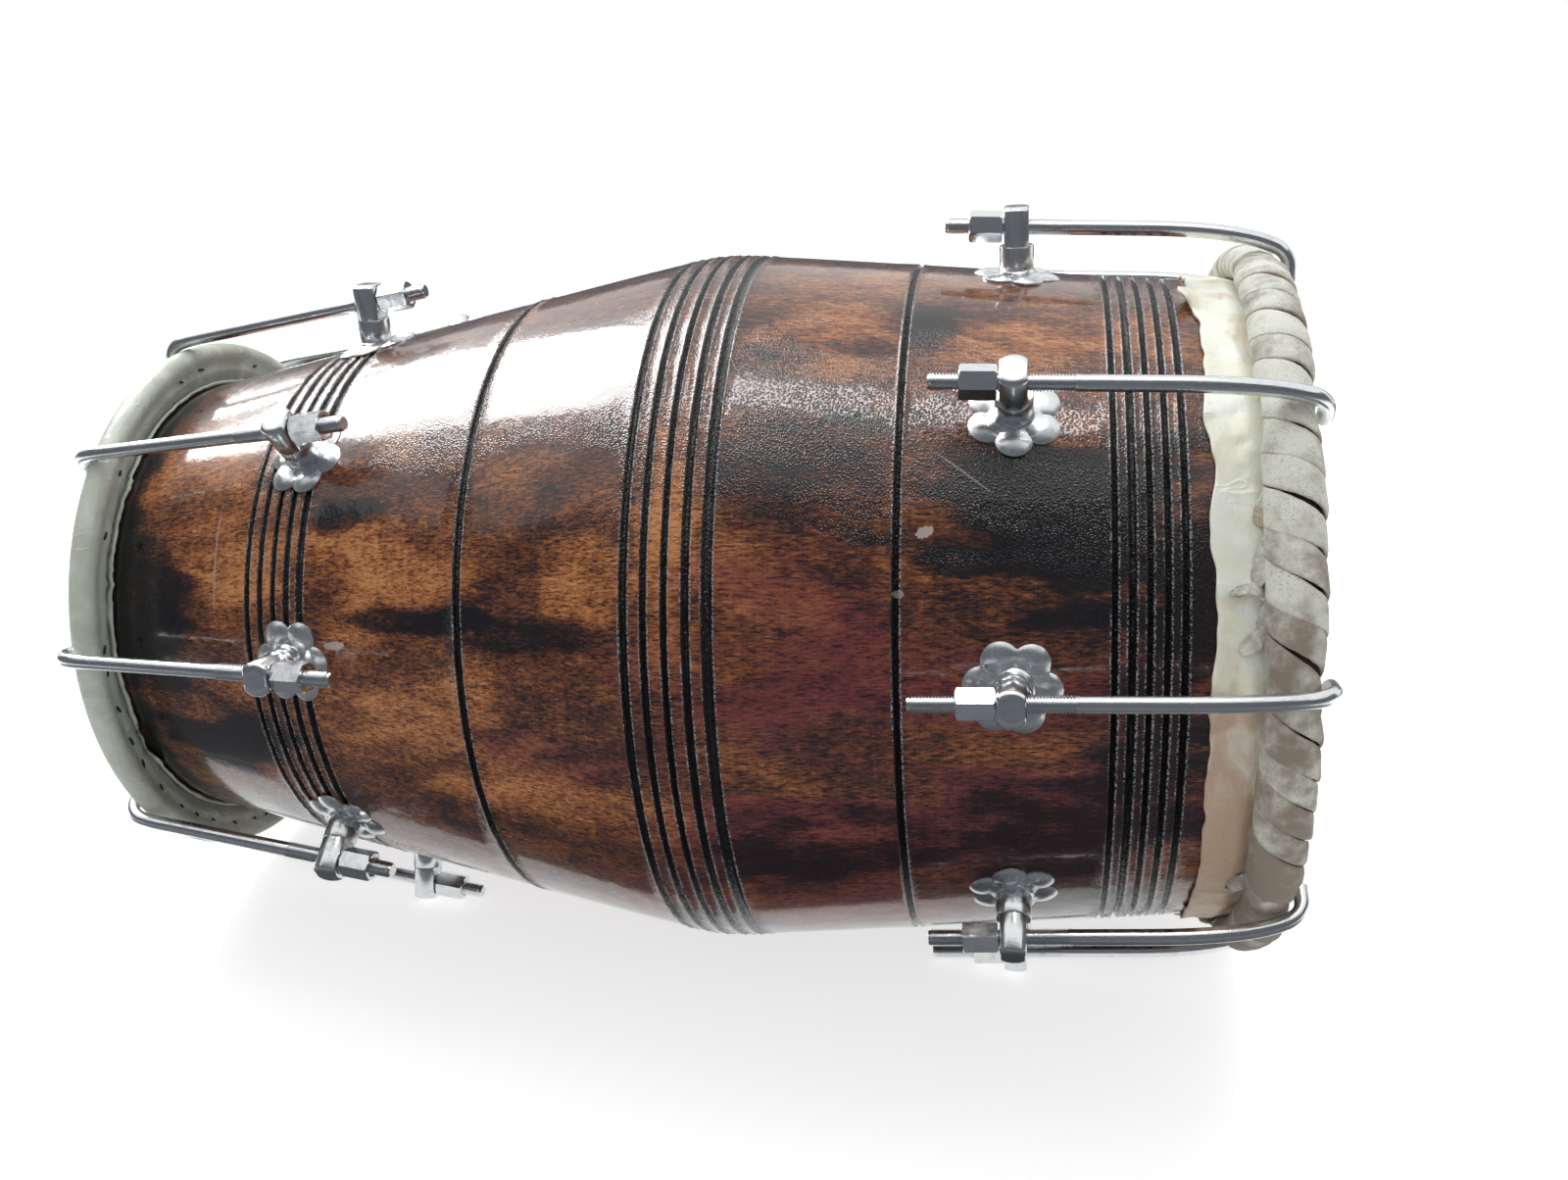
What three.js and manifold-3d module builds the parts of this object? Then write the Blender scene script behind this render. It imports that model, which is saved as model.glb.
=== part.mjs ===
// A dholak: a wooden barrel drum with a bass head and a smaller treble head.
// Each head is pulled tight by nine hooks, whose nuts bear on lugs that are bolted to the shell.
// Millimetres. In the drum's own frame +X runs along the shell to the bass head, x = 0 is the
// widest place and +Z is up. The drum then leans a little, because it lies on four of its lugs.
import * as THREE from "three";
import { mergeVertices } from "three/addons/utils/BufferGeometryUtils.js";
import Module from "manifold-3d";

const wasm = await Module();
wasm.setup();

// Shell
const bellyRadius = 138.8;
const bassLength = 201;
const trebleLength = 237;
const bassRimRadius = 120.4;
const trebleRimRadius = 92;
const rimWall = 9;
const bellyWall = 12;
const rimChamfer = 1.5;
const crestShare = 0.05;
const roundSides = 36;
const cutOverrun = 5;

// Turned grooves
const grooveWidth = 2.4;
const grooveDepth = 1.5;
const bandGrooves = 5;
const bassBandPitch = 5.4;
const bellyBandPitch = 7;
const trebleBandPitch = 5.9;
const bassBandShare = 0.76;
const bassRingShare = 0.368;
const trebleRingShare = 0.324;
const trebleBandShare = 0.653;

// Lugs
const lugCount = 9;
const bassLugShare = 0.55;
const trebleLugShare = 0.624;
const postRadius = 6.3;
const postFlat = 4.5;
const stepHeight = 11.3;
const postChamfer = 0.9;
const rodHeight = 17.8;
const postBeyondRod = 7.4;
const collarRadius = 7;
const collarHeight = 2.4;
const rosetteRadius = 16;
const petalCount = 6;
const petalRadius = 6.2;
const petalTurn = Math.PI / 5;
const rosetteThickness = 1.2;
const stemRadius = 3;
const washerRadius = 8.4;
const washerThickness = 1.6;
const backNutRadius = 5.6;
const backNutHeight = 5;
const lugSides = 8;

// Hooks and their nuts
const threadRadius = 3;
const hookRadius = 2.75;
const threadPastPost = 20;
const nutAcrossFlats = 10;
const nutLength = 12;
const nutSides = 6;
const hookSides = 6;
const bendSteps = 3;
const turnSteps = 3;
const bassKneeShare = 0.6;
const trebleKneeShare = 0.9;
const bassHookRise = 4.4;
const trebleHookRise = 0.6;
const hookSeatSlope = 0.47;
const bassTipLength = 5;
const trebleTipLength = 4;
const bassStubs = [9, 10, 15, 12, 17, 13, 11, 14, 12];
const trebleStubs = [8, 8.5, 11, 9, 9, 10, 8, 9, 10];

// Bass head: hide, the iron ring inside the plait, and the plait of rawhide strips
const hideThickness = 1.2;
const skirtLength = 30;
const pasteRadius = 46;
const pasteThickness = 3;
const plaitWidth = 16.4;
const plaitDepth = 12;
const plaitSetback = 5.8;
const plaitLift = 0.6;
const bassRingRadius = 3.1;
const ringDrop = 1;
const plaitWraps = 36;
const plaitStarts = 3;
const plaitStations = 108;
const plaitArcPoints = 8;
const plaitOpening = Math.PI / 6;
const wrapReliefShare = 0.13;

// Treble head: hide folded round its own iron ring
const rollWidth = 10;
const rollDepth = 8.6;
const rollOffset = 15;
const rollSetback = 3;
const trebleRingRadius = 2.5;
const lipSetback = 4.5;
const foldSteps = 6;
const foldStart = -Math.PI / 6;
const foldSweep = (4 * Math.PI) / 3;

// Clearances: between pieces that touch, of a rod in its hole, of a ring in the plait and of
// a hook over its seat
const touchGap = 0.3;
const runningGap = 0.35;
const pocketGap = 0.6;
const hookGap = 0.4;

const ringSides = 6;
const facetShare = Math.cos(Math.PI / roundSides);
const lugStep = (2 * Math.PI) / lugCount;
const nutCorner = nutAcrossFlats / 2 / Math.cos(Math.PI / nutSides);

const bass = {
  name: "bass",
  side: 1,
  length: bassLength,
  rimRadius: bassRimRadius,
  lug: bassLength * bassLugShare,
  kneeShare: bassKneeShare,
  rise: bassHookRise,
  tipLength: bassTipLength,
  stubs: bassStubs,
  seat: {
    out: bassLength - plaitSetback,
    radius: bassRimRadius + touchGap + hideThickness + plaitLift + plaitDepth / 2,
    halfWidth: plaitWidth / 2,
    halfDepth: plaitDepth / 2,
  },
};
const treble = {
  name: "treble",
  side: -1,
  length: trebleLength,
  rimRadius: trebleRimRadius,
  lug: trebleLength * trebleLugShare,
  kneeShare: trebleKneeShare,
  rise: trebleHookRise,
  tipLength: trebleTipLength,
  stubs: trebleStubs,
  seat: {
    out: trebleLength - rollSetback,
    radius: trebleRimRadius + rollOffset,
    halfWidth: rollWidth / 2,
    halfDepth: rollDepth / 2,
  },
};

// Materials
const wood = new THREE.MeshStandardMaterial({ color: 0x4a2110, roughness: 0.25 });
const hide = new THREE.MeshStandardMaterial({ color: 0xe0d8b8, roughness: 0.55 });
const rawhide = new THREE.MeshStandardMaterial({ color: 0xb9b09a, roughness: 0.85 });
const iron = new THREE.MeshStandardMaterial({ color: 0x3c3a38, roughness: 0.6, metalness: 0.9 });
const chrome = new THREE.MeshStandardMaterial({ color: 0xc4c7ca, roughness: 0.15, metalness: 1 });

// Two straight cones that meet in a soft crest at the belly.
function shellRadius(x) {
  const head = x < 0 ? treble : bass;
  const share = Math.abs(x) / head.length;
  const fall = (Math.hypot(share, crestShare) - crestShare) / (Math.hypot(1, crestShare) - crestShare);
  return bellyRadius - (bellyRadius - head.rimRadius) * fall;
}

function shellSlope(x) {
  return (shellRadius(x + grooveWidth) - shellRadius(x - grooveWidth)) / (2 * grooveWidth);
}

function boreSlope(head) {
  return (bellyRadius - bellyWall - head.rimRadius + rimWall) / head.length;
}

function boreRadius(head, out) {
  return bellyRadius - bellyWall - boreSlope(head) * out;
}

function solidFrom(geometry) {
  const bare = geometry.clone();
  bare.deleteAttribute("normal");
  bare.deleteAttribute("uv");
  const welded = mergeVertices(bare);
  const index = Array.from(welded.index.array);
  const triangles = [];
  for (let i = 0; i < index.length; i += 3) {
    const [a, b, c] = index.slice(i, i + 3);
    if (a !== b && b !== c && c !== a) triangles.push(a, b, c);
  }
  return new wasm.Manifold(
    new wasm.Mesh({
      numProp: 3,
      vertProperties: welded.attributes.position.array,
      triVerts: new Uint32Array(triangles),
    }),
  );
}

function geometryFrom(solid) {
  const mesh = solid.getMesh();
  const geometry = new THREE.BufferGeometry();
  geometry.setAttribute("position", new THREE.BufferAttribute(mesh.vertProperties, 3));
  geometry.setIndex(new THREE.BufferAttribute(mesh.triVerts, 1));
  const flat = geometry.toNonIndexed();
  flat.computeVertexNormals();
  return flat;
}

// Turns an outline of [along, radius] points about its axis, with the faces pointing out.
function turned(outline, sides) {
  const points = outline.map(([along, radius]) => new THREE.Vector2(radius, along));
  if (THREE.ShapeUtils.area(points) < 0) points.reverse();
  return new THREE.LatheGeometry(points, sides, -Math.PI / sides);
}

function turnedAlongX(outline, sides) {
  return turned(outline, sides).rotateZ(-Math.PI / 2);
}

function turnedAlongZ(outline, sides) {
  return turned(outline, sides).rotateX(Math.PI / 2);
}

// Regular outline whose flats lie at the given distance from its centre.
function flatsOutline(sides, flatDistance) {
  const corner = flatDistance / Math.cos(Math.PI / sides);
  const points = [];
  for (let i = 0; i < sides; i++) {
    const angle = (2 * Math.PI * (i + 0.5)) / sides;
    points.push(new THREE.Vector2(corner * Math.cos(angle), corner * Math.sin(angle)));
  }
  return points;
}

function prism(points, depth) {
  return new THREE.ExtrudeGeometry(new THREE.Shape(points), { depth, bevelEnabled: false });
}

function grooveCentres() {
  const bands = [
    { middle: -trebleLength * trebleBandShare, count: bandGrooves, pitch: trebleBandPitch },
    { middle: -trebleLength * trebleRingShare, count: 1, pitch: 0 },
    { middle: 0, count: bandGrooves, pitch: bellyBandPitch },
    { middle: bassLength * bassRingShare, count: 1, pitch: 0 },
    { middle: bassLength * bassBandShare, count: bandGrooves, pitch: bassBandPitch },
  ];
  return bands.flatMap(({ middle, count, pitch }) =>
    Array.from({ length: count }, (_, i) => middle + (i - (count - 1) / 2) * pitch),
  );
}

// The shell is open at both ends and has a hole for each lug's stem.
function makeShell() {
  const outline = [
    [-trebleLength, trebleRimRadius - rimChamfer],
    [-trebleLength + rimChamfer, shellRadius(-trebleLength + rimChamfer)],
  ];
  for (const x of grooveCentres()) {
    outline.push([x - grooveWidth / 2, shellRadius(x - grooveWidth / 2)]);
    outline.push([x, shellRadius(x) - grooveDepth]);
    outline.push([x + grooveWidth / 2, shellRadius(x + grooveWidth / 2)]);
  }
  outline.push([bassLength - rimChamfer, shellRadius(bassLength - rimChamfer)]);
  outline.push([bassLength, bassRimRadius - rimChamfer]);
  outline.push([bassLength, bassRimRadius - rimWall]);
  outline.push([0, bellyRadius - bellyWall]);
  outline.push([-trebleLength, trebleRimRadius - rimWall]);
  outline.push([...outline[0]]);
  let solid = solidFrom(turnedAlongX(outline, roundSides));
  const hole = prism(flatsOutline(lugSides, stemRadius + touchGap), bellyRadius);
  for (const head of [bass, treble]) {
    for (let i = 0; i < lugCount; i++) {
      const drilled = hole.clone();
      drilled.translate(head.side * head.lug, 0, boreRadius(head, head.lug) / 2);
      drilled.rotateX(i * lugStep);
      solid = solid.subtract(solidFrom(drilled));
    }
  }
  return geometryFrom(solid);
}

// Six round petals that run into each other, cut from sheet and laid on the shell.
function rosetteOutline() {
  const reach = rosetteRadius - petalRadius;
  const half = Math.PI / petalCount;
  const valley = reach * Math.cos(half) + Math.sqrt(petalRadius ** 2 - (reach * Math.sin(half)) ** 2);
  const points = [];
  for (let petal = 0; petal < petalCount; petal++) {
    const middle = 2 * half * petal;
    points.push(new THREE.Vector2(valley * Math.cos(middle - half), valley * Math.sin(middle - half)));
    for (const turn of [-petalTurn, petalTurn]) {
      const x = reach * Math.cos(middle) + petalRadius * Math.cos(middle + turn);
      const y = reach * Math.sin(middle) + petalRadius * Math.sin(middle + turn);
      points.push(new THREE.Vector2(x, y));
    }
  }
  return points;
}

function lugPlaces(head) {
  const x = head.side * head.lug;
  const foot = shellRadius(x) * facetShare + touchGap;
  return { x, foot, rod: foot + rodHeight, tilt: -Math.atan(shellSlope(x)) };
}

// The rod's line: from the lug it aims a little above the hook's seat.
function rodLine(head) {
  const { rod } = lugPlaces(head);
  const reach = hookRadius + hookGap;
  const top = head.seat.radius + head.seat.halfDepth + reach;
  const slope = (rod - top - head.rise) / (head.seat.out - head.lug);
  return { rod, slope, reach };
}

// One lug: rosette, collar and post outside, and a stem through the wall to a washer and nut
// inside. The post's outer half has two flats, and the rod's hole runs from one to the other.
function makeLug(head) {
  const { x, foot, rod, tilt } = lugPlaces(head);
  const end = rod + postBeyondRod;
  const below = foot - collarHeight;
  const post = [
    [below, 0],
    [below, collarRadius],
    [foot + collarHeight, collarRadius],
    [foot + collarHeight, postRadius],
    [end - postChamfer, postRadius],
    [end, postRadius - postChamfer],
    [end, 0],
  ];
  const seat = boreRadius(head, head.lug) * facetShare - washerRadius * boreSlope(head) - touchGap;
  const back = seat - washerThickness;
  const stem = [
    [foot + collarHeight / 2, 0],
    [foot + collarHeight / 2, stemRadius],
    [seat, stemRadius],
    [seat, washerRadius],
    [back, washerRadius],
    [back, backNutRadius],
    [back - backNutHeight, backNutRadius],
    [back - backNutHeight, 0],
  ];
  const underside = prism(flatsOutline(lugSides, rosetteRadius), foot);
  underside.translate(0, 0, -foot).rotateY(tilt).translate(0, 0, foot);
  const rosette = prism(rosetteOutline(), rosetteThickness).rotateY(tilt).translate(0, 0, foot);
  const flatTop = postBeyondRod + rodHeight - stepHeight + cutOverrun;
  const halfBore = postRadius + cutOverrun;
  const bore = prism(flatsOutline(lugSides, threadRadius + runningGap), 2 * halfBore);
  bore.translate(0, 0, -halfBore).rotateY(Math.PI / 2 + Math.atan(rodLine(head).slope) * head.side);
  bore.translate(0, 0, rod);
  let solid = solidFrom(turnedAlongZ(post, lugSides))
    .subtract(solidFrom(underside))
    .add(solidFrom(rosette))
    .add(solidFrom(turnedAlongZ(stem, lugSides)))
    .subtract(solidFrom(bore));
  for (const side of [-1, 1]) {
    const milled = new THREE.BoxGeometry(cutOverrun, 2 * (postRadius + cutOverrun), flatTop);
    milled.translate(side * (postFlat + cutOverrun / 2), 0, foot + stepHeight + flatTop / 2);
    solid = solid.subtract(solidFrom(milled));
  }
  return geometryFrom(solid).translate(x, 0, 0);
}

// A curve whose equal steps in its parameter are its own points, so that each point gets a ring.
class StationCurve extends THREE.CatmullRomCurve3 {
  getUtoTmapping(share) {
    return share;
  }
}

// The hook's centre line as [out, radius] points: straight through the post, a slow bend
// towards the head, then round its seat and a short way down the face.
function hookLine(head, stub) {
  const { rod, slope, reach } = rodLine(head);
  const { seat } = head;
  const wide = seat.halfWidth + reach;
  const deep = seat.halfDepth + reach;
  const onRod = (out) => [out, rod - slope * (out - head.lug)];
  const round = (turn) => [seat.out + wide * Math.sin(turn), seat.radius + deep * Math.cos(turn)];
  const entryTurn = Math.atan((wide / deep) * hookSeatSlope);
  const entry = round(entryTurn);
  const cornerOut =
    (entry[1] + hookSeatSlope * entry[0] - rod - slope * head.lug) / (hookSeatSlope - slope);
  const knee = onRod(head.lug + (cornerOut - head.lug) * head.kneeShare);
  const corner = onRod(cornerOut);
  const bend = new THREE.QuadraticBezierCurve(
    new THREE.Vector2(...knee),
    new THREE.Vector2(...corner),
    new THREE.Vector2(...entry),
  );
  const start = head.lug - postFlat - touchGap - nutLength - stub;
  const line = [onRod(start), onRod(head.lug + threadPastPost)];
  for (const point of bend.getPoints(bendSteps)) line.push([point.x, point.y]);
  for (let i = 1; i <= turnSteps; i++) {
    line.push(round(entryTurn + ((Math.PI / 2 - entryTurn) * i) / turnSteps));
  }
  line.push([seat.out + wide, seat.radius - head.tipLength]);
  return line;
}

function makeHook(head, stub) {
  const line = hookLine(head, stub);
  const points = line.map(([out, radius]) => new THREE.Vector3(head.side * out, 0, radius));
  const section = new THREE.Shape(flatsOutline(hookSides, hookRadius * Math.cos(Math.PI / hookSides)));
  const rod = new THREE.ExtrudeGeometry(section, {
    extrudePath: new StationCurve(points),
    steps: points.length - 1,
    bevelEnabled: false,
  });
  const along = points[1].clone().sub(points[0]);
  const thread = turnedAlongZ(
    [
      [0, 0],
      [0, threadRadius],
      [along.length(), threadRadius],
      [along.length(), 0],
    ],
    hookSides,
  );
  thread.rotateY(Math.atan2(along.x, along.z)).translate(points[0].x, 0, points[0].z);
  return geometryFrom(solidFrom(rod).add(solidFrom(thread)));
}

function makeNut() {
  const shape = new THREE.Shape(flatsOutline(nutSides, nutAcrossFlats / 2));
  shape.holes.push(new THREE.Path(flatsOutline(lugSides, threadRadius + runningGap)));
  return new THREE.ExtrudeGeometry(shape, { depth: nutLength, bevelEnabled: false });
}

// The bass head's hide runs over the rim and down the shell as a skirt. Its inner face
// carries a round patch of tuning paste.
function makeBassHide() {
  const face = bassLength + touchGap;
  const skirt = bassLength - skirtLength;
  const inside = (x) => shellRadius(x) + touchGap;
  const outside = (x) => inside(x) + hideThickness;
  return turnedAlongX(
    [
      [face + hideThickness, 0],
      [face + hideThickness, outside(bassLength) - hideThickness],
      [face, outside(bassLength)],
      [skirt, outside(skirt)],
      [skirt, inside(skirt)],
      [face, inside(bassLength)],
      [face, pasteRadius],
      [face - pasteThickness, pasteRadius],
      [face - pasteThickness, 0],
    ],
    roundSides,
  );
}

// The treble head's hide stays flat past the rim, folds round its ring and comes back to the shell.
function makeTrebleHide() {
  const { seat } = treble;
  const face = trebleLength + touchGap;
  const lip = trebleLength - lipSetback;
  const lipRadius = shellRadius(-lip) + touchGap;
  const chamber = seat.out - (face - seat.out);
  const chamberTop = seat.radius + trebleRingRadius + touchGap;
  const outline = [[face + hideThickness, 0]];
  for (let i = 0; i <= foldSteps; i++) {
    const turn = foldStart + (foldSweep * i) / foldSteps;
    const out = seat.out + seat.halfWidth * Math.cos(turn);
    outline.push([out, seat.radius + seat.halfDepth * Math.sin(turn)]);
  }
  outline.push([lip - hideThickness, lipRadius]);
  outline.push([lip, lipRadius]);
  outline.push([chamber, seat.radius - seat.halfDepth]);
  outline.push([chamber, chamberTop]);
  outline.push([face, chamberTop]);
  outline.push([face, 0]);
  return turnedAlongX(
    outline.map(([out, radius]) => [-out, radius]),
    roundSides,
  );
}

function makeRing(head, sectionRadius, drop) {
  const flat = sectionRadius * Math.cos(Math.PI / ringSides);
  const outline = flatsOutline(ringSides, flat).map((point) => [
    head.side * (head.seat.out + point.x),
    head.seat.radius - drop + point.y,
  ]);
  outline.push([...outline[0]]);
  return turnedAlongX(outline, roundSides);
}

// The plait as a ring of one section, open towards the shell, whose outside has the wraps.
function makePlait() {
  const { out, radius, halfWidth, halfDepth } = bass.seat;
  const pocketHalf = bassRingRadius + pocketGap;
  const pocketTop = bassRingRadius + pocketGap - ringDrop;
  const positions = [];
  const section = (theta) => {
    const points = [];
    for (let i = 0; i < plaitArcPoints; i++) {
      const sweep = 2 * Math.PI - 2 * plaitOpening;
      const turn = -Math.PI / 2 + plaitOpening + (sweep * i) / (plaitArcPoints - 1);
      const phase = plaitWraps * theta + plaitStarts * turn;
      const atEnd = i === 0 || i === plaitArcPoints - 1;
      const relief = atEnd ? 0 : (wrapReliefShare * (1 - Math.cos(phase))) / 2;
      const scale = 1 - relief;
      points.push([halfWidth * Math.cos(turn) * scale, halfDepth * Math.sin(turn) * scale]);
    }
    points.push([-pocketHalf, pocketTop], [pocketHalf, pocketTop]);
    return points;
  };
  for (let i = 0; i < plaitStations; i++) {
    const theta = (2 * Math.PI * i) / plaitStations;
    for (const [along, deep] of section(theta)) {
      const reach = radius + deep;
      positions.push(out + along, -reach * Math.sin(theta), reach * Math.cos(theta));
    }
  }
  const around = section(0).length;
  const index = [];
  for (let i = 0; i < plaitStations; i++) {
    const next = (i + 1) % plaitStations;
    for (let j = 0; j < around; j++) {
      const after = (j + 1) % around;
      const [a, b] = [i * around + j, i * around + after];
      const [c, d] = [next * around + j, next * around + after];
      index.push(a, b, d, a, d, c);
    }
  }
  const geometry = new THREE.BufferGeometry();
  geometry.setAttribute("position", new THREE.Float32BufferAttribute(positions, 3));
  geometry.setIndex(index);
  geometry.computeVertexNormals();
  return geometry;
}

function piece(name, geometry, material) {
  const mesh = new THREE.Mesh(geometry, material);
  mesh.name = name;
  return mesh;
}

const drum = new THREE.Group();
drum.add(
  piece("shell", makeShell(), wood),
  piece("bass_hide", makeBassHide(), hide),
  piece("bass_ring", makeRing(bass, bassRingRadius, ringDrop), iron),
  piece("bass_plait", makePlait(), rawhide),
  piece("treble_hide", makeTrebleHide(), hide),
  piece("treble_ring", makeRing(treble, trebleRingRadius, 0), iron),
);

for (const head of [bass, treble]) {
  const lug = makeLug(head);
  const nut = makeNut();
  const { rod, slope } = rodLine(head);
  for (let i = 0; i < lugCount; i++) {
    const station = new THREE.Group();
    station.rotation.x = i * lugStep;
    const nutMesh = piece(`${head.name}_nut_${i + 1}`, nut, chrome);
    const pull = Math.atan(slope);
    const back = (postFlat + touchGap) / Math.cos(pull) + nutCorner * slope;
    nutMesh.position.set(
      head.side * (head.lug - back * Math.cos(pull)),
      0,
      rod + back * Math.sin(pull),
    );
    nutMesh.rotation.y = head.side * (pull - Math.PI / 2);
    station.add(
      piece(`${head.name}_lug_${i + 1}`, lug, chrome),
      piece(`${head.name}_hook_${i + 1}`, makeHook(head, head.stubs[i]), chrome),
      nutMesh,
    );
    drum.add(station);
  }
}

// The drum lies on the two lowest lugs of each head, which reach further at the bass end.
function lowestReach(head) {
  const lean = lugStep / 2;
  const { rod } = lugPlaces(head);
  return (rod + postBeyondRod) * Math.cos(lean) + (postRadius - postChamfer) * Math.sin(lean);
}

drum.rotation.y = -Math.atan2(lowestReach(bass) - lowestReach(treble), bass.lug + treble.lug);
const box = new THREE.Box3().setFromObject(drum, true);
const middle = box.getCenter(new THREE.Vector3());
drum.position.set(-middle.x, -middle.y, -box.min.z);

const dholak = new THREE.Group();
dholak.add(drum);

export default dholak;
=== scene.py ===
import math
import random

import bmesh
import bpy
from mathutils import Matrix, Vector, noise


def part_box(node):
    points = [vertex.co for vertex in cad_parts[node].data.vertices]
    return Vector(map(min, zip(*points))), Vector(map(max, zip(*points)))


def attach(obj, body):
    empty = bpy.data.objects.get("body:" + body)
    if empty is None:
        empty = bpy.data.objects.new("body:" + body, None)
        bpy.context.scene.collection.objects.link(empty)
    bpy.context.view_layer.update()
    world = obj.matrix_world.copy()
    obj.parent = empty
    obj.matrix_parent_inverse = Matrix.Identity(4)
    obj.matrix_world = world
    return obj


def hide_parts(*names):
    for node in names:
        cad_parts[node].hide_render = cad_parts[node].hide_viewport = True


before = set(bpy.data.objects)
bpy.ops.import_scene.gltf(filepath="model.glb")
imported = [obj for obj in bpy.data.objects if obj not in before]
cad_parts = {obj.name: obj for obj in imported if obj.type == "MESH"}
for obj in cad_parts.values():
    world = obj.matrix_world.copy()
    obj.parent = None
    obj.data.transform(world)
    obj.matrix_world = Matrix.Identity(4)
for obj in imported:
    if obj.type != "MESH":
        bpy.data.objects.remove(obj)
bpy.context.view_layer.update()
print("frame loaded")

# The drum's own measures in millimetres: +X runs to the bass head, x = 0 is the widest place.
drum = {
    "bellyRadius": 138.8,
    "bellyWall": 12,
    "rimWall": 9,
    "crestShare": 0.05,
    "lugCount": 9,
    "rodHeight": 17.8,
    "postBeyondRod": 7.4,
    "restGap": 0.3,
    "flatShare": math.cos(math.pi / 36),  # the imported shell's 36 flats lie this much lower
}
bass = {
    "name": "bass",
    "side": 1,
    "length": 201,
    "rim": 120.4,
    "lug": 110.55,
    "seatOut": 195.2,
    "seatRadius": 128.5,
    "seatHalfWidth": 8.2,
    "seatHalfDepth": 6,
    "rise": 4.4,
    "kneeShare": 0.6,
    "tip": 5,
    "stubs": [9, 10, 15, 12, 17, 13, 11, 14, 12],
    "nutTurns": [14, 0, 20, 8, -12, 25, 3, -20, 10],
    "rosetteTurns": [10, 30, 6, 22, 0, 14, 27, 3, 18],
}
treble = {
    "name": "treble",
    "side": -1,
    "length": 237,
    "rim": 92,
    "lug": 147.888,
    "seatOut": 234,
    "seatRadius": 107,
    "seatHalfWidth": 5,
    "seatHalfDepth": 4.3,
    "rise": 0.6,
    "kneeShare": 0.9,
    "tip": 4,
    "stubs": [8, 8.5, 11, 9, 9, 10, 8, 9, 10],
    "nutTurns": [6, -14, 0, 12, 20, -5, 9, 27, -9],
    "rosetteTurns": [25, 12, 0, 18, 7, 28, 4, 15, 21],
}


def middleOf(node):
    low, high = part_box(node)
    return (low + high) / 2


def findDrumFrame():
    # The two rings' middles lie on the drum's axis, and the drum leans only in the XZ plane.
    bassMiddle = middleOf("bass_ring")
    along = bassMiddle - middleOf("treble_ring")
    scale = along.length / (bass["seatOut"] + treble["seatOut"])
    along.normalize()
    across = Vector((0, 1, 0))
    turned = Matrix((along, across, along.cross(across))).transposed().to_4x4()
    origin = bassMiddle - along * bass["seatOut"] * scale
    return Matrix.Translation(origin) @ turned @ Matrix.Scale(scale, 4)


drumFrame = findDrumFrame()


# Shapes of the drum

def shellRadius(x):
    head = treble if x < 0 else bass
    soft = drum["crestShare"]
    share = abs(x) / head["length"]
    fall = (math.hypot(share, soft) - soft) / (math.hypot(1, soft) - soft)
    return drum["bellyRadius"] - (drum["bellyRadius"] - head["rim"]) * fall


def shellSlope(x):
    step = 2
    return (shellRadius(x + step) - shellRadius(x - step)) / (2 * step)


def boreSlope(head):
    return (drum["bellyRadius"] - drum["bellyWall"] - head["rim"] + drum["rimWall"]) / head["length"]


def lugFoot(head):
    return shellRadius(head["side"] * head["lug"]) * drum["flatShare"] + drum["restGap"]


def smooth(low, high, value):
    t = min(1, max(0, (value - low) / (high - low)))
    return t * t * (3 - 2 * t)


def roundPlace(point):
    # Place along the axis, angle from the top towards the photograph's side, and radius
    return point.x, math.atan2(-point.y, point.z), math.hypot(point.y, point.z)


def onDrum(x, radius, angle):
    return Vector((x, -radius * math.sin(angle), radius * math.cos(angle)))


def roundNoise(x, angle, radius, size, seed, stretch=1):
    # Noise on the drum's surface that closes on itself; a stretch above 1 draws it out along x.
    high = radius * math.cos(angle)
    near = radius * math.sin(angle)
    place = Vector((x / (size * stretch), high / size, near / size))
    return noise.noise(place + Vector((seed, 2.7 * seed, 0)))


def angleGap(a, b):
    return (a - b + math.pi) % (2 * math.pi) - math.pi


# Mesh helpers

def newObject(name, bm):
    # Puts a bmesh into the scene; it is used up.
    mesh = bpy.data.meshes.new(name)
    bm.to_mesh(mesh)
    bm.free()
    made = bpy.data.objects.new(name, mesh)
    bpy.context.scene.collection.objects.link(made)
    return made


def addLayers(bm, *names):
    return {name: bm.verts.layers.float.new(name) for name in names}


def newCylinder(sides, radius, length):
    # A closed prism or cylinder about Z, with its middle at the origin
    bm = bmesh.new()
    bmesh.ops.create_cone(bm, cap_ends=True, segments=sides, radius1=radius, radius2=radius, depth=length)
    return bm


def edgesAt(verts):
    return list({edge for vert in verts for edge in vert.link_edges})


def facesAt(verts):
    return list({face for vert in verts for face in vert.link_faces})


def growRing(bm, edges):
    # Extrudes a ring of edges, and gives the new ring's vertices and edges
    grown = bmesh.ops.extrude_edge_only(bm, edges=edges)["geom"]
    verts = [item for item in grown if isinstance(item, bmesh.types.BMVert)]
    edges = [item for item in grown if isinstance(item, bmesh.types.BMEdge)
             and item.verts[0] in verts and item.verts[1] in verts]
    return verts, edges


def mergeClose(bm):
    bmesh.ops.remove_doubles(bm, verts=bm.verts, dist=1e-3)
    bmesh.ops.dissolve_degenerate(bm, dist=1e-3, edges=bm.edges)


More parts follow.
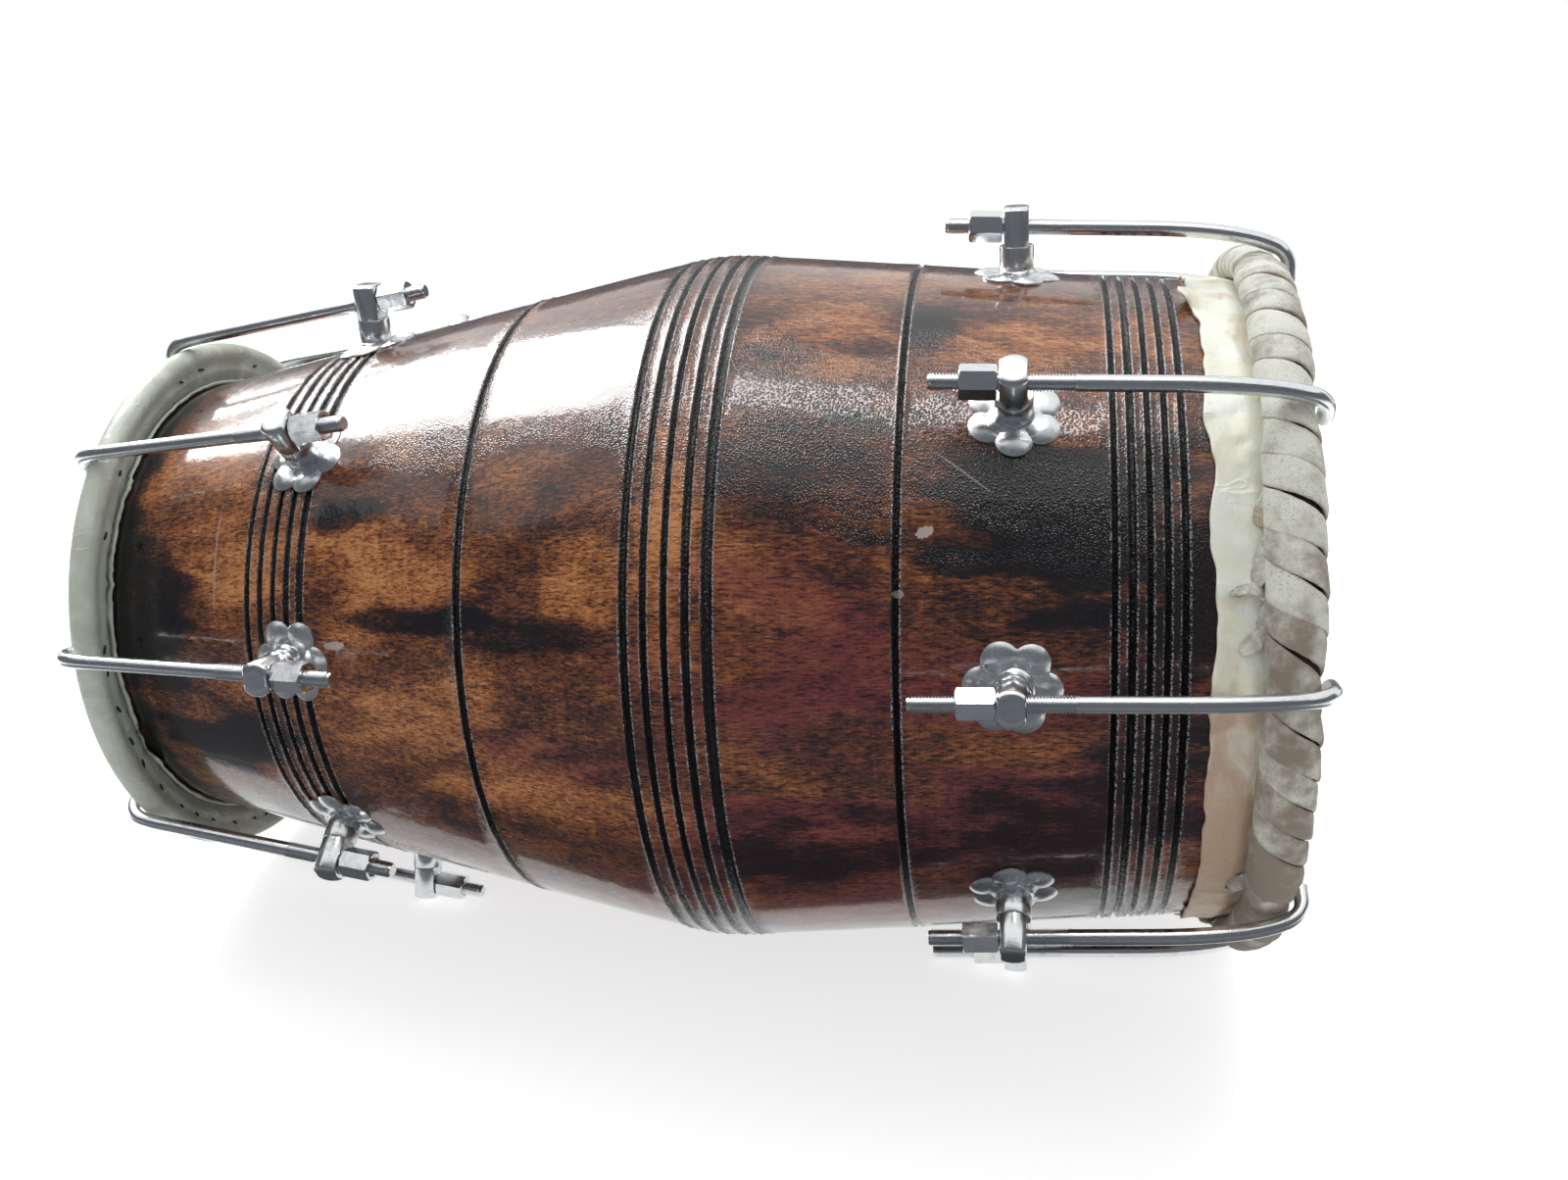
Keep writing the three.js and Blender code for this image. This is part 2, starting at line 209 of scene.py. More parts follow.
def turn(bm, outline, steps, axis="X"):
    # Turns an outline of (along, radius) points about X or Z.
    places = [(along, 0, radius) if axis == "X" else (radius, 0, along) for along, radius in outline]
    verts = [bm.verts.new(place) for place in places]
    edges = [bm.edges.new(pair) for pair in zip(verts, verts[1:])]
    about = (1, 0, 0) if axis == "X" else (0, 0, 1)
    bmesh.ops.spin(bm, geom=verts + edges, cent=(0, 0, 0), axis=about, dvec=(0, 0, 0),
                   angle=2 * math.pi, steps=steps, use_merge=True, use_duplicate=False)
    bmesh.ops.remove_doubles(bm, verts=bm.verts, dist=1e-3)
    bmesh.ops.recalc_face_normals(bm, faces=bm.faces)


def joined(*parts):
    # One bmesh of several; the parts are used up.
    whole = bmesh.new()
    for part in parts:
        carrier = bpy.data.meshes.new("carrier")
        part.to_mesh(carrier)
        part.free()
        whole.from_mesh(carrier)
        bpy.data.meshes.remove(carrier)
    return whole


def booleanOf(bm, tool, operation):
    # Cuts or intersects one closed bmesh with another; both are used up.
    made = [newObject("cut", part) for part in (bm, tool)]
    modifier = made[0].modifiers.new("cut", "BOOLEAN")
    modifier.operation = operation
    modifier.solver = "EXACT"
    modifier.object = made[1]
    evaluated = made[0].evaluated_get(bpy.context.evaluated_depsgraph_get())
    result = bmesh.new()
    result.from_mesh(evaluated.to_mesh())
    mergeClose(result)
    for item in made:
        mesh = item.data
        bpy.data.objects.remove(item)
        bpy.data.meshes.remove(mesh)
    return result


def faceOut(bm, faces, inside):
    # Turns an open sheet so that its faces point away from a place inside it
    bm.normal_update()
    bmesh.ops.recalc_face_normals(bm, faces=faces)
    facing = sum(face.calc_area() * face.normal.dot(face.calc_center_median() - inside) for face in faces)
    if facing < 0:
        bmesh.ops.reverse_faces(bm, faces=faces)


def finishPiece(name, bm, material, body, replaced=(), sharp=38, wall=0):
    # A sheet whose outer face is modelled gets its wall here.
    if not wall:
        bm.normal_update()
        bmesh.ops.recalc_face_normals(bm, faces=bm.faces)
    bm.transform(drumFrame)
    for face in bm.faces:
        face.smooth = True
    for edge in bm.edges:
        edge.smooth = edge.calc_face_angle(0) < math.radians(sharp)
    piece = newObject(name, bm)
    piece.data.materials.append(material)
    if wall:
        modifier = piece.modifiers.new("wall", "SOLIDIFY")
        modifier.thickness = wall * drumFrame.median_scale
        modifier.offset = -1
    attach(piece, body)
    if replaced:
        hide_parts(*replaced)


# Shader helpers

class Paint:
    # The nodes of one material or world, with the shader that they feed

    def __init__(self, tree, shader=None):
        self.tree = tree
        self.shader = shader

    def feed(self, socket, value):
        if isinstance(value, bpy.types.NodeSocket):
            self.tree.links.new(value, socket)
        else:
            socket.default_value = value

    def set(self, name, value):
        self.feed(self.shader.inputs[name], value)

    def put(self, kind, values, **settings):
        node = self.tree.nodes.new("ShaderNode" + kind)
        for key, value in settings.items():
            setattr(node, key, value)
        for key, value in values.items():
            self.feed(node.inputs[key], value)
        return node

    def points(self, scale=None):
        # The drum's own millimetres, from Object coordinates
        inverse = drumFrame.inverted()
        where = self.put("TexCoord", {}).outputs["Object"]
        own = self.put("Mapping", {"Vector": where, "Location": inverse.to_translation(),
                                   "Rotation": inverse.to_euler(), "Scale": inverse.to_scale()})
        if scale is None:
            return own.outputs["Vector"]
        return self.put("Mapping", {"Vector": own.outputs["Vector"], "Scale": scale}).outputs["Vector"]

    def noise(self, points, size, detail=3.0, roughness=0.5, distortion=0.0):
        values = {"Vector": points, "Scale": 1 / size, "Detail": detail, "Roughness": roughness,
                  "Distortion": distortion}
        return self.put("TexNoise", values).outputs[0]

    def step(self, value, low, high, toLow=0.0, toHigh=1.0):
        values = {"Value": value, "From Min": low, "From Max": high, "To Min": toLow, "To Max": toHigh}
        return self.put("MapRange", values, interpolation_type="SMOOTHSTEP").outputs["Result"]

    def math(self, first, second, operation):
        return self.put("Math", {0: first, 1: second}, operation=operation).outputs[0]

    def add(self, first, second):
        return self.math(first, second, "ADD")

    def times(self, first, second):
        return self.math(first, second, "MULTIPLY")

    def centred(self, value):
        # Noise runs about a half; this brings it about zero.
        return self.math(value, 0.5, "SUBTRACT")

    def blend(self, share, first, second):
        node = self.put("Mix", {0: share}, data_type="RGBA")
        for socket, colour in ((node.inputs[6], first), (node.inputs[7], second)):
            self.feed(socket, colour if isinstance(colour, bpy.types.NodeSocket) else (*colour, 1))
        return node.outputs[2]

    def cover(self, colour, value, low, high, share, over):
        # Lays another colour over the first, up to that share where the value is high
        return self.blend(self.step(value, low, high, 0, share), colour, over)

    def attribute(self, name):
        return self.put("Attribute", {}, attribute_name=name).outputs["Fac"]

    def bump(self, height, depth, under=None):
        # depth is the relief's height in metres
        values = {"Height": height, "Distance": depth, "Strength": 1.0}
        if under is not None:
            values["Normal"] = under
        return self.put("Bump", values).outputs["Normal"]

    def roughen(self, points, grain, depth, under=None):
        return self.bump(self.noise(points, *grain), depth, under)


def newMaterial(name):
    material = bpy.data.materials.new(name)
    material.use_nodes = True
    nodes = material.node_tree.nodes
    nodes.clear()
    shader = nodes.new("ShaderNodeBsdfPrincipled")
    output = nodes.new("ShaderNodeOutputMaterial")
    material.node_tree.links.new(shader.outputs["BSDF"], output.inputs["Surface"])
    return material, Paint(material.node_tree, shader)


# Wood

woodLook = {
    "tones": [  # from the black stain to bare orange wood
        (0.0, (0.0085, 0.0065, 0.009)),
        (0.24, (0.016, 0.0095, 0.010)),
        (0.42, (0.056, 0.020, 0.014)),
        (0.60, (0.148, 0.049, 0.020)),
        (0.80, (0.32, 0.117, 0.038)),
        (1.0, (0.50, 0.22, 0.085)),
    ],
    "ground": 0.53,
    "warmth": 0.36,
    "stained": -0.16,
    "blackened": -0.42,
    "blackStep": (0.14, 0.86),
    # Noises along the grain: stretch, size, weight, detail, roughness, distortion
    "stainEdge": (2.6, 9, 0.85, 6, 0.6, 0.6),
    "mottles": [(1.3, 34, 0.7, 3, 0.6, 0.7), (3.5, 7, 0.62, 5, 0.65, 0.4), (4.5, 0.9, 0.8, 2, 0.5, 0.5)],
    # Plain noises: size, detail, roughness, distortion
    "lathe": (0.8, 3, 0.6),
    "fleck": (0.58, 3, 0.5, 0.8),
    "ragged": (1.1, 3, 0.6),
    "smear": (14, 4, 0.6),
    "wave": (5, 2, 0.5),
    # Steps: from low to high, and the tones that they add there
    "latheStep": (0.3, 0.7, 0.03, -0.035),
    "fleckStep": (0.48, 0.64, 0.04, -0.27),
    # Red-brown that is partly the wood's own colour and partly a painted reflection of a pink surrounding
    "red": (0.165, 0.032, 0.038),
    "darkRedAndReflection": (0.016, 0.006, 0.008),
    "redAndReflectionShare": 0.95,
    "soot": (0.005, 0.0045, 0.006),
    "sootShare": 0.97,
    # Pale beads on the groove lips: partly dried polish, partly a painted highlight
    "polishAndGlint": (0.34, 0.35, 0.37),
    "polishAndGlintShare": 0.75,
    "chalk": (0.42, 0.36, 0.32),
    "bareDark": (0.20, 0.12, 0.065),
    "barePale": (0.34, 0.23, 0.14),
    "varnish": 0.065,
    "satin": 0.36,
    "underVarnish": 0.15,
    "dropSize": 0.75,
    "gritEverywhere": 0.06,
    # Relief in metres
    "peel": 0.00016,
    "waveDepth": 0.00008,
    "grooveDepth": 0.0006,
    "fleckDepth": 0.00004,
}
# Small marks: x, angle, half sizes, heading in degrees and strength
woodMarks = [
    (82.9, 58.3, (4.2, 2.6), 30, 0.9),
    (74.7, 66.9, (2.8, 2.0), 0, 0.6),
    (95.0, 49.5, (16, 0.45), -37, 0.5),
    (-128.5, 76.5, (6.5, 2.2), 5, 0.8),
    (-182, 60, (0.9, 32), 0, 0.35),
    (-121, 112, (4, 2.5), 10, 0.25),
]


def grainNoise(paint, stretch, size, weight, detail, roughness, distortion):
    # Noise about zero, drawn out along the grain
    value = paint.noise(paint.points((1 / stretch, 1, 1)), size, detail, roughness, distortion)
    return paint.times(paint.centred(value), weight)


def markOf(paint, points, x, angle, size, heading):
    # A soft spot on the shell: 1 in its middle and 0 past its edge
    turnAbout = math.radians(angle)
    middle = onDrum(x, shellRadius(x), turnAbout)
    about = Matrix.Rotation(turnAbout, 3, "X") @ Matrix.Rotation(math.radians(heading), 3, "Z")
    local = paint.put("Mapping", {"Vector": points, "Location": middle, "Rotation": about.to_euler(),
                                  "Scale": (*size, 6)}, vector_type="TEXTURE")
    reach = paint.put("VectorMath", {0: local.outputs["Vector"]}, operation="LENGTH").outputs["Value"]
    return paint.step(reach, 1.0, 0.4)


def woodTone(paint):
    # How bright the wood is, from 0 to 1, and the flecks alone
    look = woodLook
    stain = paint.attribute("stain")
    broken = paint.add(stain, grainNoise(paint, *look["stainEdge"]))
    tone = paint.add(paint.times(paint.attribute("warm"), look["warmth"]), look["ground"])
    tone = paint.add(tone, paint.times(stain, look["stained"]))
    tone = paint.add(tone, paint.times(paint.step(broken, *look["blackStep"]), look["blackened"]))
    for mottle in look["mottles"]:
        tone = paint.add(tone, grainNoise(paint, *mottle))
    lathe = paint.noise(paint.points((1, 0.015, 0.015)), *look["lathe"])
    tone = paint.add(tone, paint.step(lathe, *look["latheStep"]))
    fleck = paint.noise(paint.points((0.14, 1, 1)), *look["fleck"])
    return paint.add(tone, paint.step(fleck, *look["fleckStep"])), fleck


def woodColour(paint, points, ragged):
    look = woodLook
    tone, fleck = woodTone(paint)
    ramp = paint.put("ValToRGB", {"Fac": tone})
    stops = ramp.color_ramp.elements
    while len(stops) < len(look["tones"]):
        stops.new(0.5)
    for stop, (place, shade) in zip(stops, look["tones"]):
        stop.position = place
        stop.color = (*shade, 1)
    # The red-brown is partly the wood's own colour and partly a painted reflection of a pink surrounding.
    reddishAndReflection = paint.blend(paint.step(tone, 0.05, 0.62), look["darkRedAndReflection"], look["red"])
    redAndReflectionShare = paint.times(paint.attribute("red"), look["redAndReflectionShare"])
    colour = paint.blend(redAndReflectionShare, ramp.outputs["Color"], reddishAndReflection)
    groove = paint.add(paint.attribute("groove"), paint.times(paint.centred(ragged), 1.1))
    colour = paint.cover(colour, groove, 0.38, 0.55, look["sootShare"], look["soot"])
    # Pale beads on the groove lips: partly dried polish, partly a painted highlight, brighter on the lips
    # towards the bass head
    glintBead = paint.step(paint.noise(points, 0.7, 1, 0.5), 0.47, 0.6)
    glintBeads = paint.times(paint.attribute("lip"), glintBead)
    colour = paint.cover(colour, glintBeads, 0.15, 0.5, look["polishAndGlintShare"], look["polishAndGlint"])
    for x, angle, size, heading, strength in woodMarks:
        spot = markOf(paint, points, x, angle, size, heading)
        uneven = paint.add(spot, paint.times(ragged, 1.7))
        colour = paint.cover(colour, uneven, 1.3, 1.5, strength, look["chalk"])
    return colour, fleck


def makeWood():
    look = woodLook
    material, paint = newMaterial("varnishedWood")
    points = paint.points()
    ragged = paint.noise(points, *look["ragged"])
    colour, fleck = woodColour(paint, points, ragged)
    inside = paint.attribute("bore")
    bareGrain = paint.noise(paint.points((0.2, 1, 1)), 5, 4, 0.6)
    bare = paint.blend(bareGrain, look["bareDark"], look["barePale"])
    paint.set("Base Color", paint.blend(inside, colour, bare))
    smear = paint.noise(points, *look["smear"])
    gloss = paint.step(smear, 0.3, 0.8, look["satin"] * 0.7, look["satin"] * 1.3)
    paint.set("Roughness", paint.math(gloss, inside, "MAXIMUM"))
    paint.set("Coat Weight", paint.math(1.0, inside, "SUBTRACT"))
    paint.set("Coat Roughness", look["varnish"])
    paint.set("Specular IOR Level", look["underVarnish"])
    drops = paint.put("TexVoronoi", {"Vector": points, "Scale": 1 / look["dropSize"], "Smoothness": 0.6},
                      feature="SMOOTH_F1").outputs["Distance"]
    peel = paint.step(drops, 0.6, 0.08)
    grit = paint.add(paint.attribute("grit"), look["gritEverywhere"])
    normal = paint.roughen(points, look["wave"], look["waveDepth"])
    normal = paint.bump(paint.times(peel, grit), look["peel"], normal)
    normal = paint.bump(paint.times(ragged, paint.attribute("groove")), look["grooveDepth"], normal)
    paint.set("Coat Normal", normal)
    paint.set("Normal", paint.bump(fleck, look["fleckDepth"], normal))
    return material


# Hides

bassHideLook = {
    "pale": (0.80, 0.78, 0.63),
    "milk": (0.85, 0.88, 0.81),
    "tan": (0.44, 0.28, 0.18),
}
trebleHideLook = {
    "pale": (0.43, 0.46, 0.395),
    "milk": (0.55, 0.59, 0.53),
    "tan": (0.36, 0.31, 0.25),
}
hideLook = {
    "veinColour": (0.40, 0.31, 0.19),
    "veinShare": 0.25,
    "tanShare": 0.85,
    # Noises: size, detail, roughness, distortion
    "cloud": (16, 4, 0.6, 0.5),
    "patch": (11, 5, 0.65, 0.8),
    "vein": (2.4, 5, 0.7),
    "crease": (3.4, 5, 0.6),
    "fold": (5.5, 1, 0.5, 0.4),
    "folded": (12, 2, 0.5),
    "pore": (0.5, 2, 0.5),
    # Light inside the skin
    "glow": 0.25,
    "glowReach": (0.004, 0.0025, 0.0015),
    "glowScale": 0.6,
    # Relief in metres
    "foldDepth": 0.00018,
    "creaseDepth": 0.0005,
    "poreDepth": 0.00008,
}


def makeHide(name, colours):
    look = hideLook
    material, paint = newMaterial(name)
    points = paint.points()
    cloud = paint.noise(points, *look["cloud"])
    colour = paint.blend(paint.step(cloud, 0.35, 0.68), colours["pale"], colours["milk"])
    patch = paint.noise(paint.points((1, 0.5, 0.5)), *look["patch"])
    # The attribute holds tan patches and a darkening towards the bottom
    low = paint.add(paint.attribute("tanAndDarkBelow"), paint.centred(patch))
    colour = paint.cover(colour, low, 0.2, 0.75, look["tanShare"], colours["tan"])
    vein = paint.noise(points, *look["vein"])
    colour = paint.cover(colour, vein, 0.56, 0.75, look["veinShare"], look["veinColour"])
    paint.set("Base Color", colour)
    paint.set("Roughness", paint.step(vein, 0.3, 0.8, 0.3, 0.52))
    paint.set("Subsurface Weight", look["glow"])
    paint.set("Subsurface Radius", look["glowReach"])
    paint.set("Subsurface Scale", look["glowScale"])
    crease = paint.noise(paint.points((1, 0.4, 0.4)), *look["crease"])
    fold = paint.noise(paint.points((0.3, 1, 1)), *look["fold"])
    ridge = paint.step(paint.math(paint.centred(fold), 0.0, "ABSOLUTE"), 0.0, 0.06, 1, 0)
    folded = paint.step(paint.noise(points, *look["folded"]), 0.48, 0.62)
    normal = paint.bump(paint.times(ridge, folded), look["foldDepth"])
    normal = paint.bump(crease, look["creaseDepth"], normal)
    paint.set("Normal", paint.roughen(points, look["pore"], look["poreDepth"], normal))
    return material


# Rawhide, plating and dark stuffs

rawhideLook = {
    "pale": (0.68, 0.685, 0.61),
    "grey": (0.26, 0.215, 0.165),
    "edge": (0.42, 0.30, 0.19),
    "speck": (0.20, 0.185, 0.16),
    # Noises: size, detail, roughness
    "cloud": (9, 4, 0.6),
    "nap": (0.7, 3, 0.7),
    "worn": (6, 3, 0.6),
    "buckle": (4.5, 3, 0.5),
    "roughness": 0.82,
    "sheen": 0.15,
    # Relief in metres
    "napDepth": 0.00022,
    "buckleDepth": 0.0005,
}
chromeLook = {
    "colour": (0.78, 0.80, 0.815),
    "dullShare": 0.62,
    "roughness": 0.14,
    "wornRoughness": 0.308,
    "sheetRoughness": 0.1,
    "cloud": (5, 4, 0.6),
    "ripple": (0.9, 3, 0.6),
    "rippleDepth": 0.00003,
}


def makeRawhide():
    look = rawhideLook
    material, paint = newMaterial("plaitedRawhide")
    points = paint.points()
    # On the plait the tone holds painted light, lighter at the top and darker at the bottom.
    cloud = paint.add(paint.noise(points, *look["cloud"]), paint.attribute("tone"))
    colour = paint.blend(paint.step(cloud, 0.34, 0.78), look["grey"], look["pale"])
    nap = paint.noise(points, *look["nap"])
    worn = paint.step(paint.noise(points, *look["worn"]), 0.42, 0.62, 0.25, 1)
    colour = paint.blend(paint.times(paint.step(nap, 0.5, 0.66, 0, 0.6), worn), colour, look["speck"])
    cutEdge = paint.times(paint.attribute("edge"), paint.step(nap, 0.35, 0.6, 0.4, 1))
    colour = paint.cover(colour, cutEdge, 0.3, 0.9, 0.7, look["edge"])
    paint.set("Base Color", colour)
    paint.set("Roughness", look["roughness"])
    paint.set("Sheen Weight", look["sheen"])
    normal = paint.bump(nap, look["napDepth"])
    paint.set("Normal", paint.roughen(points, look["buckle"], look["buckleDepth"], normal))
    return material


def makeChrome():
    look = chromeLook
    material, paint = newMaterial("brightPlating")
    points = paint.points()
    cloud = paint.noise(points, *look["cloud"])
    dull = tuple(look["dullShare"] * c for c in look["colour"])
    paint.set("Base Color", paint.cover(look["colour"], cloud, 0.45, 0.8, 0.5, dull))
    paint.set("Metallic", 1)
    worn = paint.step(cloud, 0.3, 0.8, look["roughness"], look["wornRoughness"])
    sheet = paint.times(paint.attribute("sheet"), look["sheetRoughness"])
    paint.set("Roughness", paint.add(worn, sheet))
    paint.set("Normal", paint.roughen(points, look["ripple"], look["rippleDepth"]))
    return material


def makeDark(name, colour, roughness, size, depth=0.0002):
    # A dark stuff with grain of that size in millimetres and that depth in metres
    material, paint = newMaterial(name)
    grain = paint.noise(paint.points(), size, 4, 0.6)
    paint.set("Base Color", paint.blend(grain, tuple(0.5 * c for c in colour), colour))
    paint.set("Roughness", roughness)
    paint.set("Normal", paint.bump(grain, depth))
    return material


wood = makeWood()
hide = makeHide("bassSkin", bassHideLook)
trebleSkin = makeHide("trebleSkin", trebleHideLook)
rawhide = makeRawhide()
chrome = makeChrome()
# A dark stuff for the ring under the plait, which is painted shade in the slits
shadowed = makeDark("plaitShadeCore", (0.035, 0.028, 0.022), 0.9, 2)
pasteSkin = makeDark("tuningPaste", (0.05, 0.035, 0.03), 0.6, 3)
blackThread = makeDark("waxedThread", (0.02, 0.018, 0.015), 0.6, 0.4)
print("materials made")


# Shell

shellPlan = {
    "steps": 300,
    "station": 6.5,
    "grooveDepth": 1.7,
    "grooveSides": [(0.95, 0.1), (0.62, 0.78)],  # shares of a groove's half width and depth
    "lipAway": 0.4,
    "lipRise": 0.28,
    "lipEnd": 1.0,
    "frayed": 1.5,
    "chip": 0.3,
    "rimChamfer": 1.5,
    "bands": [  # middle, pitch, and each groove's width from the treble side
        (-154.76, 5.9, [1.6, 1.8, 1.7, 2.1, 2.6]),
        (-76.79, 0, [2.4]),
        (0, 7, [2.4, 2.0, 1.8, 2.3, 3.2]),
        (73.97, 0, [2.0]),
        (152.76, 5.4, [1.7, 2.3, 1.7, 1.8, 2.0]),
    ],
}
# Places on the shell as x, angle from the top in degrees, half length, half width, strength
stainSpots = [
    (-207, 76, 19, 30, 1.0), (-122, 52, 18, 6, 0.75), (-86, 71.5, 34, 5, 0.9), (-48, 73, 30, 8, 0.6),
    (-44, 90, 36, 14, 0.45), (-188, 101, 34, 20, 0.75), (82, 22, 13, 15, 0.75), (128, 57, 54, 36, 1.0),
    (165, 66, 22, 50, 0.85), (42, 48, 44, 20, 0.5), (132, 106, 60, 26, 0.7), (50, 108, 60, 22, 0.7),
    (-228, 60, 8, 160, 0.9), (-150, 45, 14, 9, 0.5), (-70, 108, 50, 10, 0.4), (35, 30, 14, 9, 0.4),
    (178, 40, 12, 30, 0.35), (-14, 45, 9, 6, 0.4), (160, 90, 30, 40, 0.7),
]
warmSpots = [
    (-172, 58, 30, 34, 0.9), (-111, 63, 34, 20, 1.0), (-26, 66, 20, 16, 0.9), (119, 26, 34, 18, 1.0),
    (53, 25, 24, 22, 0.95), (-90, 88, 50, 20, 0.95), (-150, 84, 34, 14, 0.9), (-40, 100, 60, 16, 0.75),
    (36, 66, 26, 14, 0.6), (75, 64, 26, 10, 0.5), (-160, 34, 40, 14, 0.5), (60, 8, 60, 20, 0.5),
    (-60, 48, 26, 10, 0.5), (150, 22, 20, 16, 0.6), (-218, 40, 12, 20, 0.6), (0, 60, 12, 40, 1.0),
    (20, 62, 10, 12, 0.7),
]
# Red-brown places: partly the wood's own colour, partly a painted reflection of a pink surrounding
redAndReflectionSpots = [
    (60, 80, 70, 22, 0.75), (130, 82, 60, 16, 0.7), (176, 62, 16, 40, 0.55), (-30, 92, 40, 14, 0.4),
    (40, 66, 30, 14, 0.5), (132, 104, 64, 34, 0.85), (50, 106, 64, 30, 0.8), (60, 128, 110, 30, 0.6),
]
gritSpots = [
    (100, 42, 95, 48, 1.0), (36, 40, 44, 26, 1.0), (-6, 60, 22, 90, 0.6), (-92, 44, 60, 12, 0.4),
    (150, 60, 50, 40, 0.7),
]


def farSpots(count, low, high, seed):
    # The far side, which the photograph doesn't show, has spots of the same kind, at random
    rng = random.Random(seed)
    ranges = ((-225, 170), (125, 350), (10, 50), (8, 30), (low, high))
    return [tuple(rng.uniform(*limits) for limits in ranges) for _ in range(count)]


def spotValue(x, angle, radius, wobble, spots):
    best = 0
    for middle, degrees, half, wide, strength in spots:
        along = (x - middle) / half
        if abs(along) < 1.6:
            around = angleGap(angle, math.radians(degrees)) * radius / wide
            reach = math.hypot(along, around) + 0.85 * wobble
            best = max(best, strength * (1 - smooth(0.25, 1.3, reach)))
    return best


def grooveList():
    grooves = []
    for middle, pitch, widths in shellPlan["bands"]:
        for i, width in enumerate(widths):
            grooves.append((middle + (i - (len(widths) - 1) / 2) * pitch, width))
    return grooves


def shellOutline(grooves):
    plan = shellPlan
    depth = plan["grooveDepth"]
    chamfer = plan["rimChamfer"]
    places = []
    x = -treble["length"] + 3
    while x < bass["length"] - 3:
        if all(abs(x - middle) > width / 2 + 1.4 for middle, width in grooves):
            places.append((x, 0))
        x += plan["station"] / 2 if abs(x) < 12 else plan["station"]
    for middle, width in grooves:
        half = width / 2
        places.append((middle, -depth))
        for side in (-1, 1):
            places.append((middle + side * (half + plan["lipEnd"]), 0))
            places.append((middle + side * (half + plan["lipAway"]), plan["lipRise"]))
            for across, deep in plan["grooveSides"]:
                places.append((middle + side * half * across, -deep * depth))
    outer = [(x, shellRadius(x) + lift) for x, lift in sorted(places)]
    start = (-treble["length"] + chamfer / 2, treble["rim"] - chamfer / 4)
    end = (bass["length"] - chamfer / 2, bass["rim"] - chamfer / 4)
    bore = []
    for i in range(11):
        x = bass["length"] - i * (bass["length"] + treble["length"]) / 10
        head = bass if x > 0 else treble
        bore.append((x, drum["bellyRadius"] - drum["bellyWall"] - boreSlope(head) * abs(x)))
    bassRim = (bass["length"], bass["rim"] - chamfer)
    trebleRim = (-treble["length"], treble["rim"] - chamfer)
    return [start] + outer + [end, bassRim] + bore + [trebleRim, start]


def wearGroove(vert, layers, x, angle, radius, middle, width):
    # Soot in the groove, grit on its lips, pale beads on the lips that are partly dried varnish and
    # partly painted highlight, and chips along its edges
    past = abs(x - middle) - width / 2
    if past >= shellPlan["frayed"]:
        return
    vert[layers["groove"]] = 1 - smooth(-0.1, 0.75, past)
    lip = smooth(shellPlan["frayed"], 0.6, past)
    vert[layers["grit"]] = max(vert[layers["grit"]], 0.9 * lip)
    # The pale beads are partly dried varnish and partly a painted highlight, which is stronger on the lip
    # towards the bass head.
    if abs(past - shellPlan["lipAway"]) < 0.1:
        driedAndGlint = 1.1 if x > middle else 0.5
        vert[layers["lip"]] = max(0, driedAndGlint + 0.9 * roundNoise(x, angle, radius, 16, 30))
    chip = roundNoise(x, angle, radius, 1.9, 9) + 0.5 * roundNoise(x, angle, radius, 7, 10)
    moved = (radius + shellPlan["chip"] * chip) / radius
    vert.co.y *= moved
    vert.co.z *= moved


def makeShell():
    bm = bmesh.new()
    grooves = grooveList()
    turn(bm, shellOutline(grooves), shellPlan["steps"])
    layers = addLayers(bm, "stain", "warm", "red", "grit", "groove", "lip", "bore")
    spots = {
        "stain": stainSpots + farSpots(26, 0.4, 0.95, 5),
        "warm": warmSpots + farSpots(24, 0.4, 0.9, 6),
        "red": redAndReflectionSpots + farSpots(10, 0.3, 0.7, 7),
        "grit": gritSpots + farSpots(8, 0.3, 0.8, 8),
    }
    for vert in bm.verts:
        x, angle, radius = roundPlace(vert.co)
        if radius < shellRadius(x) - 4:
            vert[layers["bore"]] = 1
            continue
        wobble = roundNoise(x, angle, radius, 15, 3, 2.5) + 0.6 * roundNoise(x, angle, radius, 6, 2, 4)
        for name, places in spots.items():
            vert[layers[name]] = spotValue(x, angle, radius, wobble, places)
        for middle, width in grooves:
            wearGroove(vert, layers, x, angle, radius, middle, width)
    finishPiece("drumShell", bm, wood, "root", ["shell"], 50)


makeShell()
print("shell made")


# Bass head

bassHidePlan = {
    "steps": 640,
    "thickness": 1.1,
    "faceRadii": [0, 10, 22, 34, 46, 58, 70, 82, 93, 102, 109, 114],
    "rimRound": 3.4,
    "skirtRows": 26,
    "skirtEdge": 171.8,
    "ragged": 2.4,
    "wrinkle": 0.9,
    "frill": 0.35,
    "swell": 1.0,
    "swellAt": 183.5,
    "swellHalf": 2.6,
    "tan": 0.12,
    "faceTan": 0.2,
    # The skirt's darkening towards the bottom
    "skirtDarkBelow": 0.92,
    "patchTan": 0.25,
    "flap": {"angle": 11, "half": 4.5, "reach": 4.2, "rise": 4.0},
}
pastePlan = {
    "steps": 96,
    "profile": [(0, 0), (0, 46), (0.4, 46), (1.6, 44), (2.5, 38), (3, 22), (3, 0)],  # depth, radius
}


def bassOutline(face):
    # From the middle of the face, round the rim and down the skirt
    plan = bassHidePlan
    bend = plan["rimRound"]
    bent = face - bend
    outside = bass["rim"] + drum["restGap"] + plan["thickness"]
    outline = [(face, radius) for radius in plan["faceRadii"]]
    for i in range(5):
        part = math.pi / 2 * i / 4
        outline.append((bent + bend * math.cos(part), outside - bend + bend * math.sin(part)))
    for i in range(1, plan["skirtRows"] + 1):
        x = bent + (plan["skirtEdge"] - bent) * i / plan["skirtRows"]
        outline.append((x, skinOver(x, plan)))
    return outline


def skinOver(x, plan, lift=0):
    # The outer radius of a hide that lies on the shell
    return shellRadius(x) + drum["restGap"] + plan["thickness"] + lift


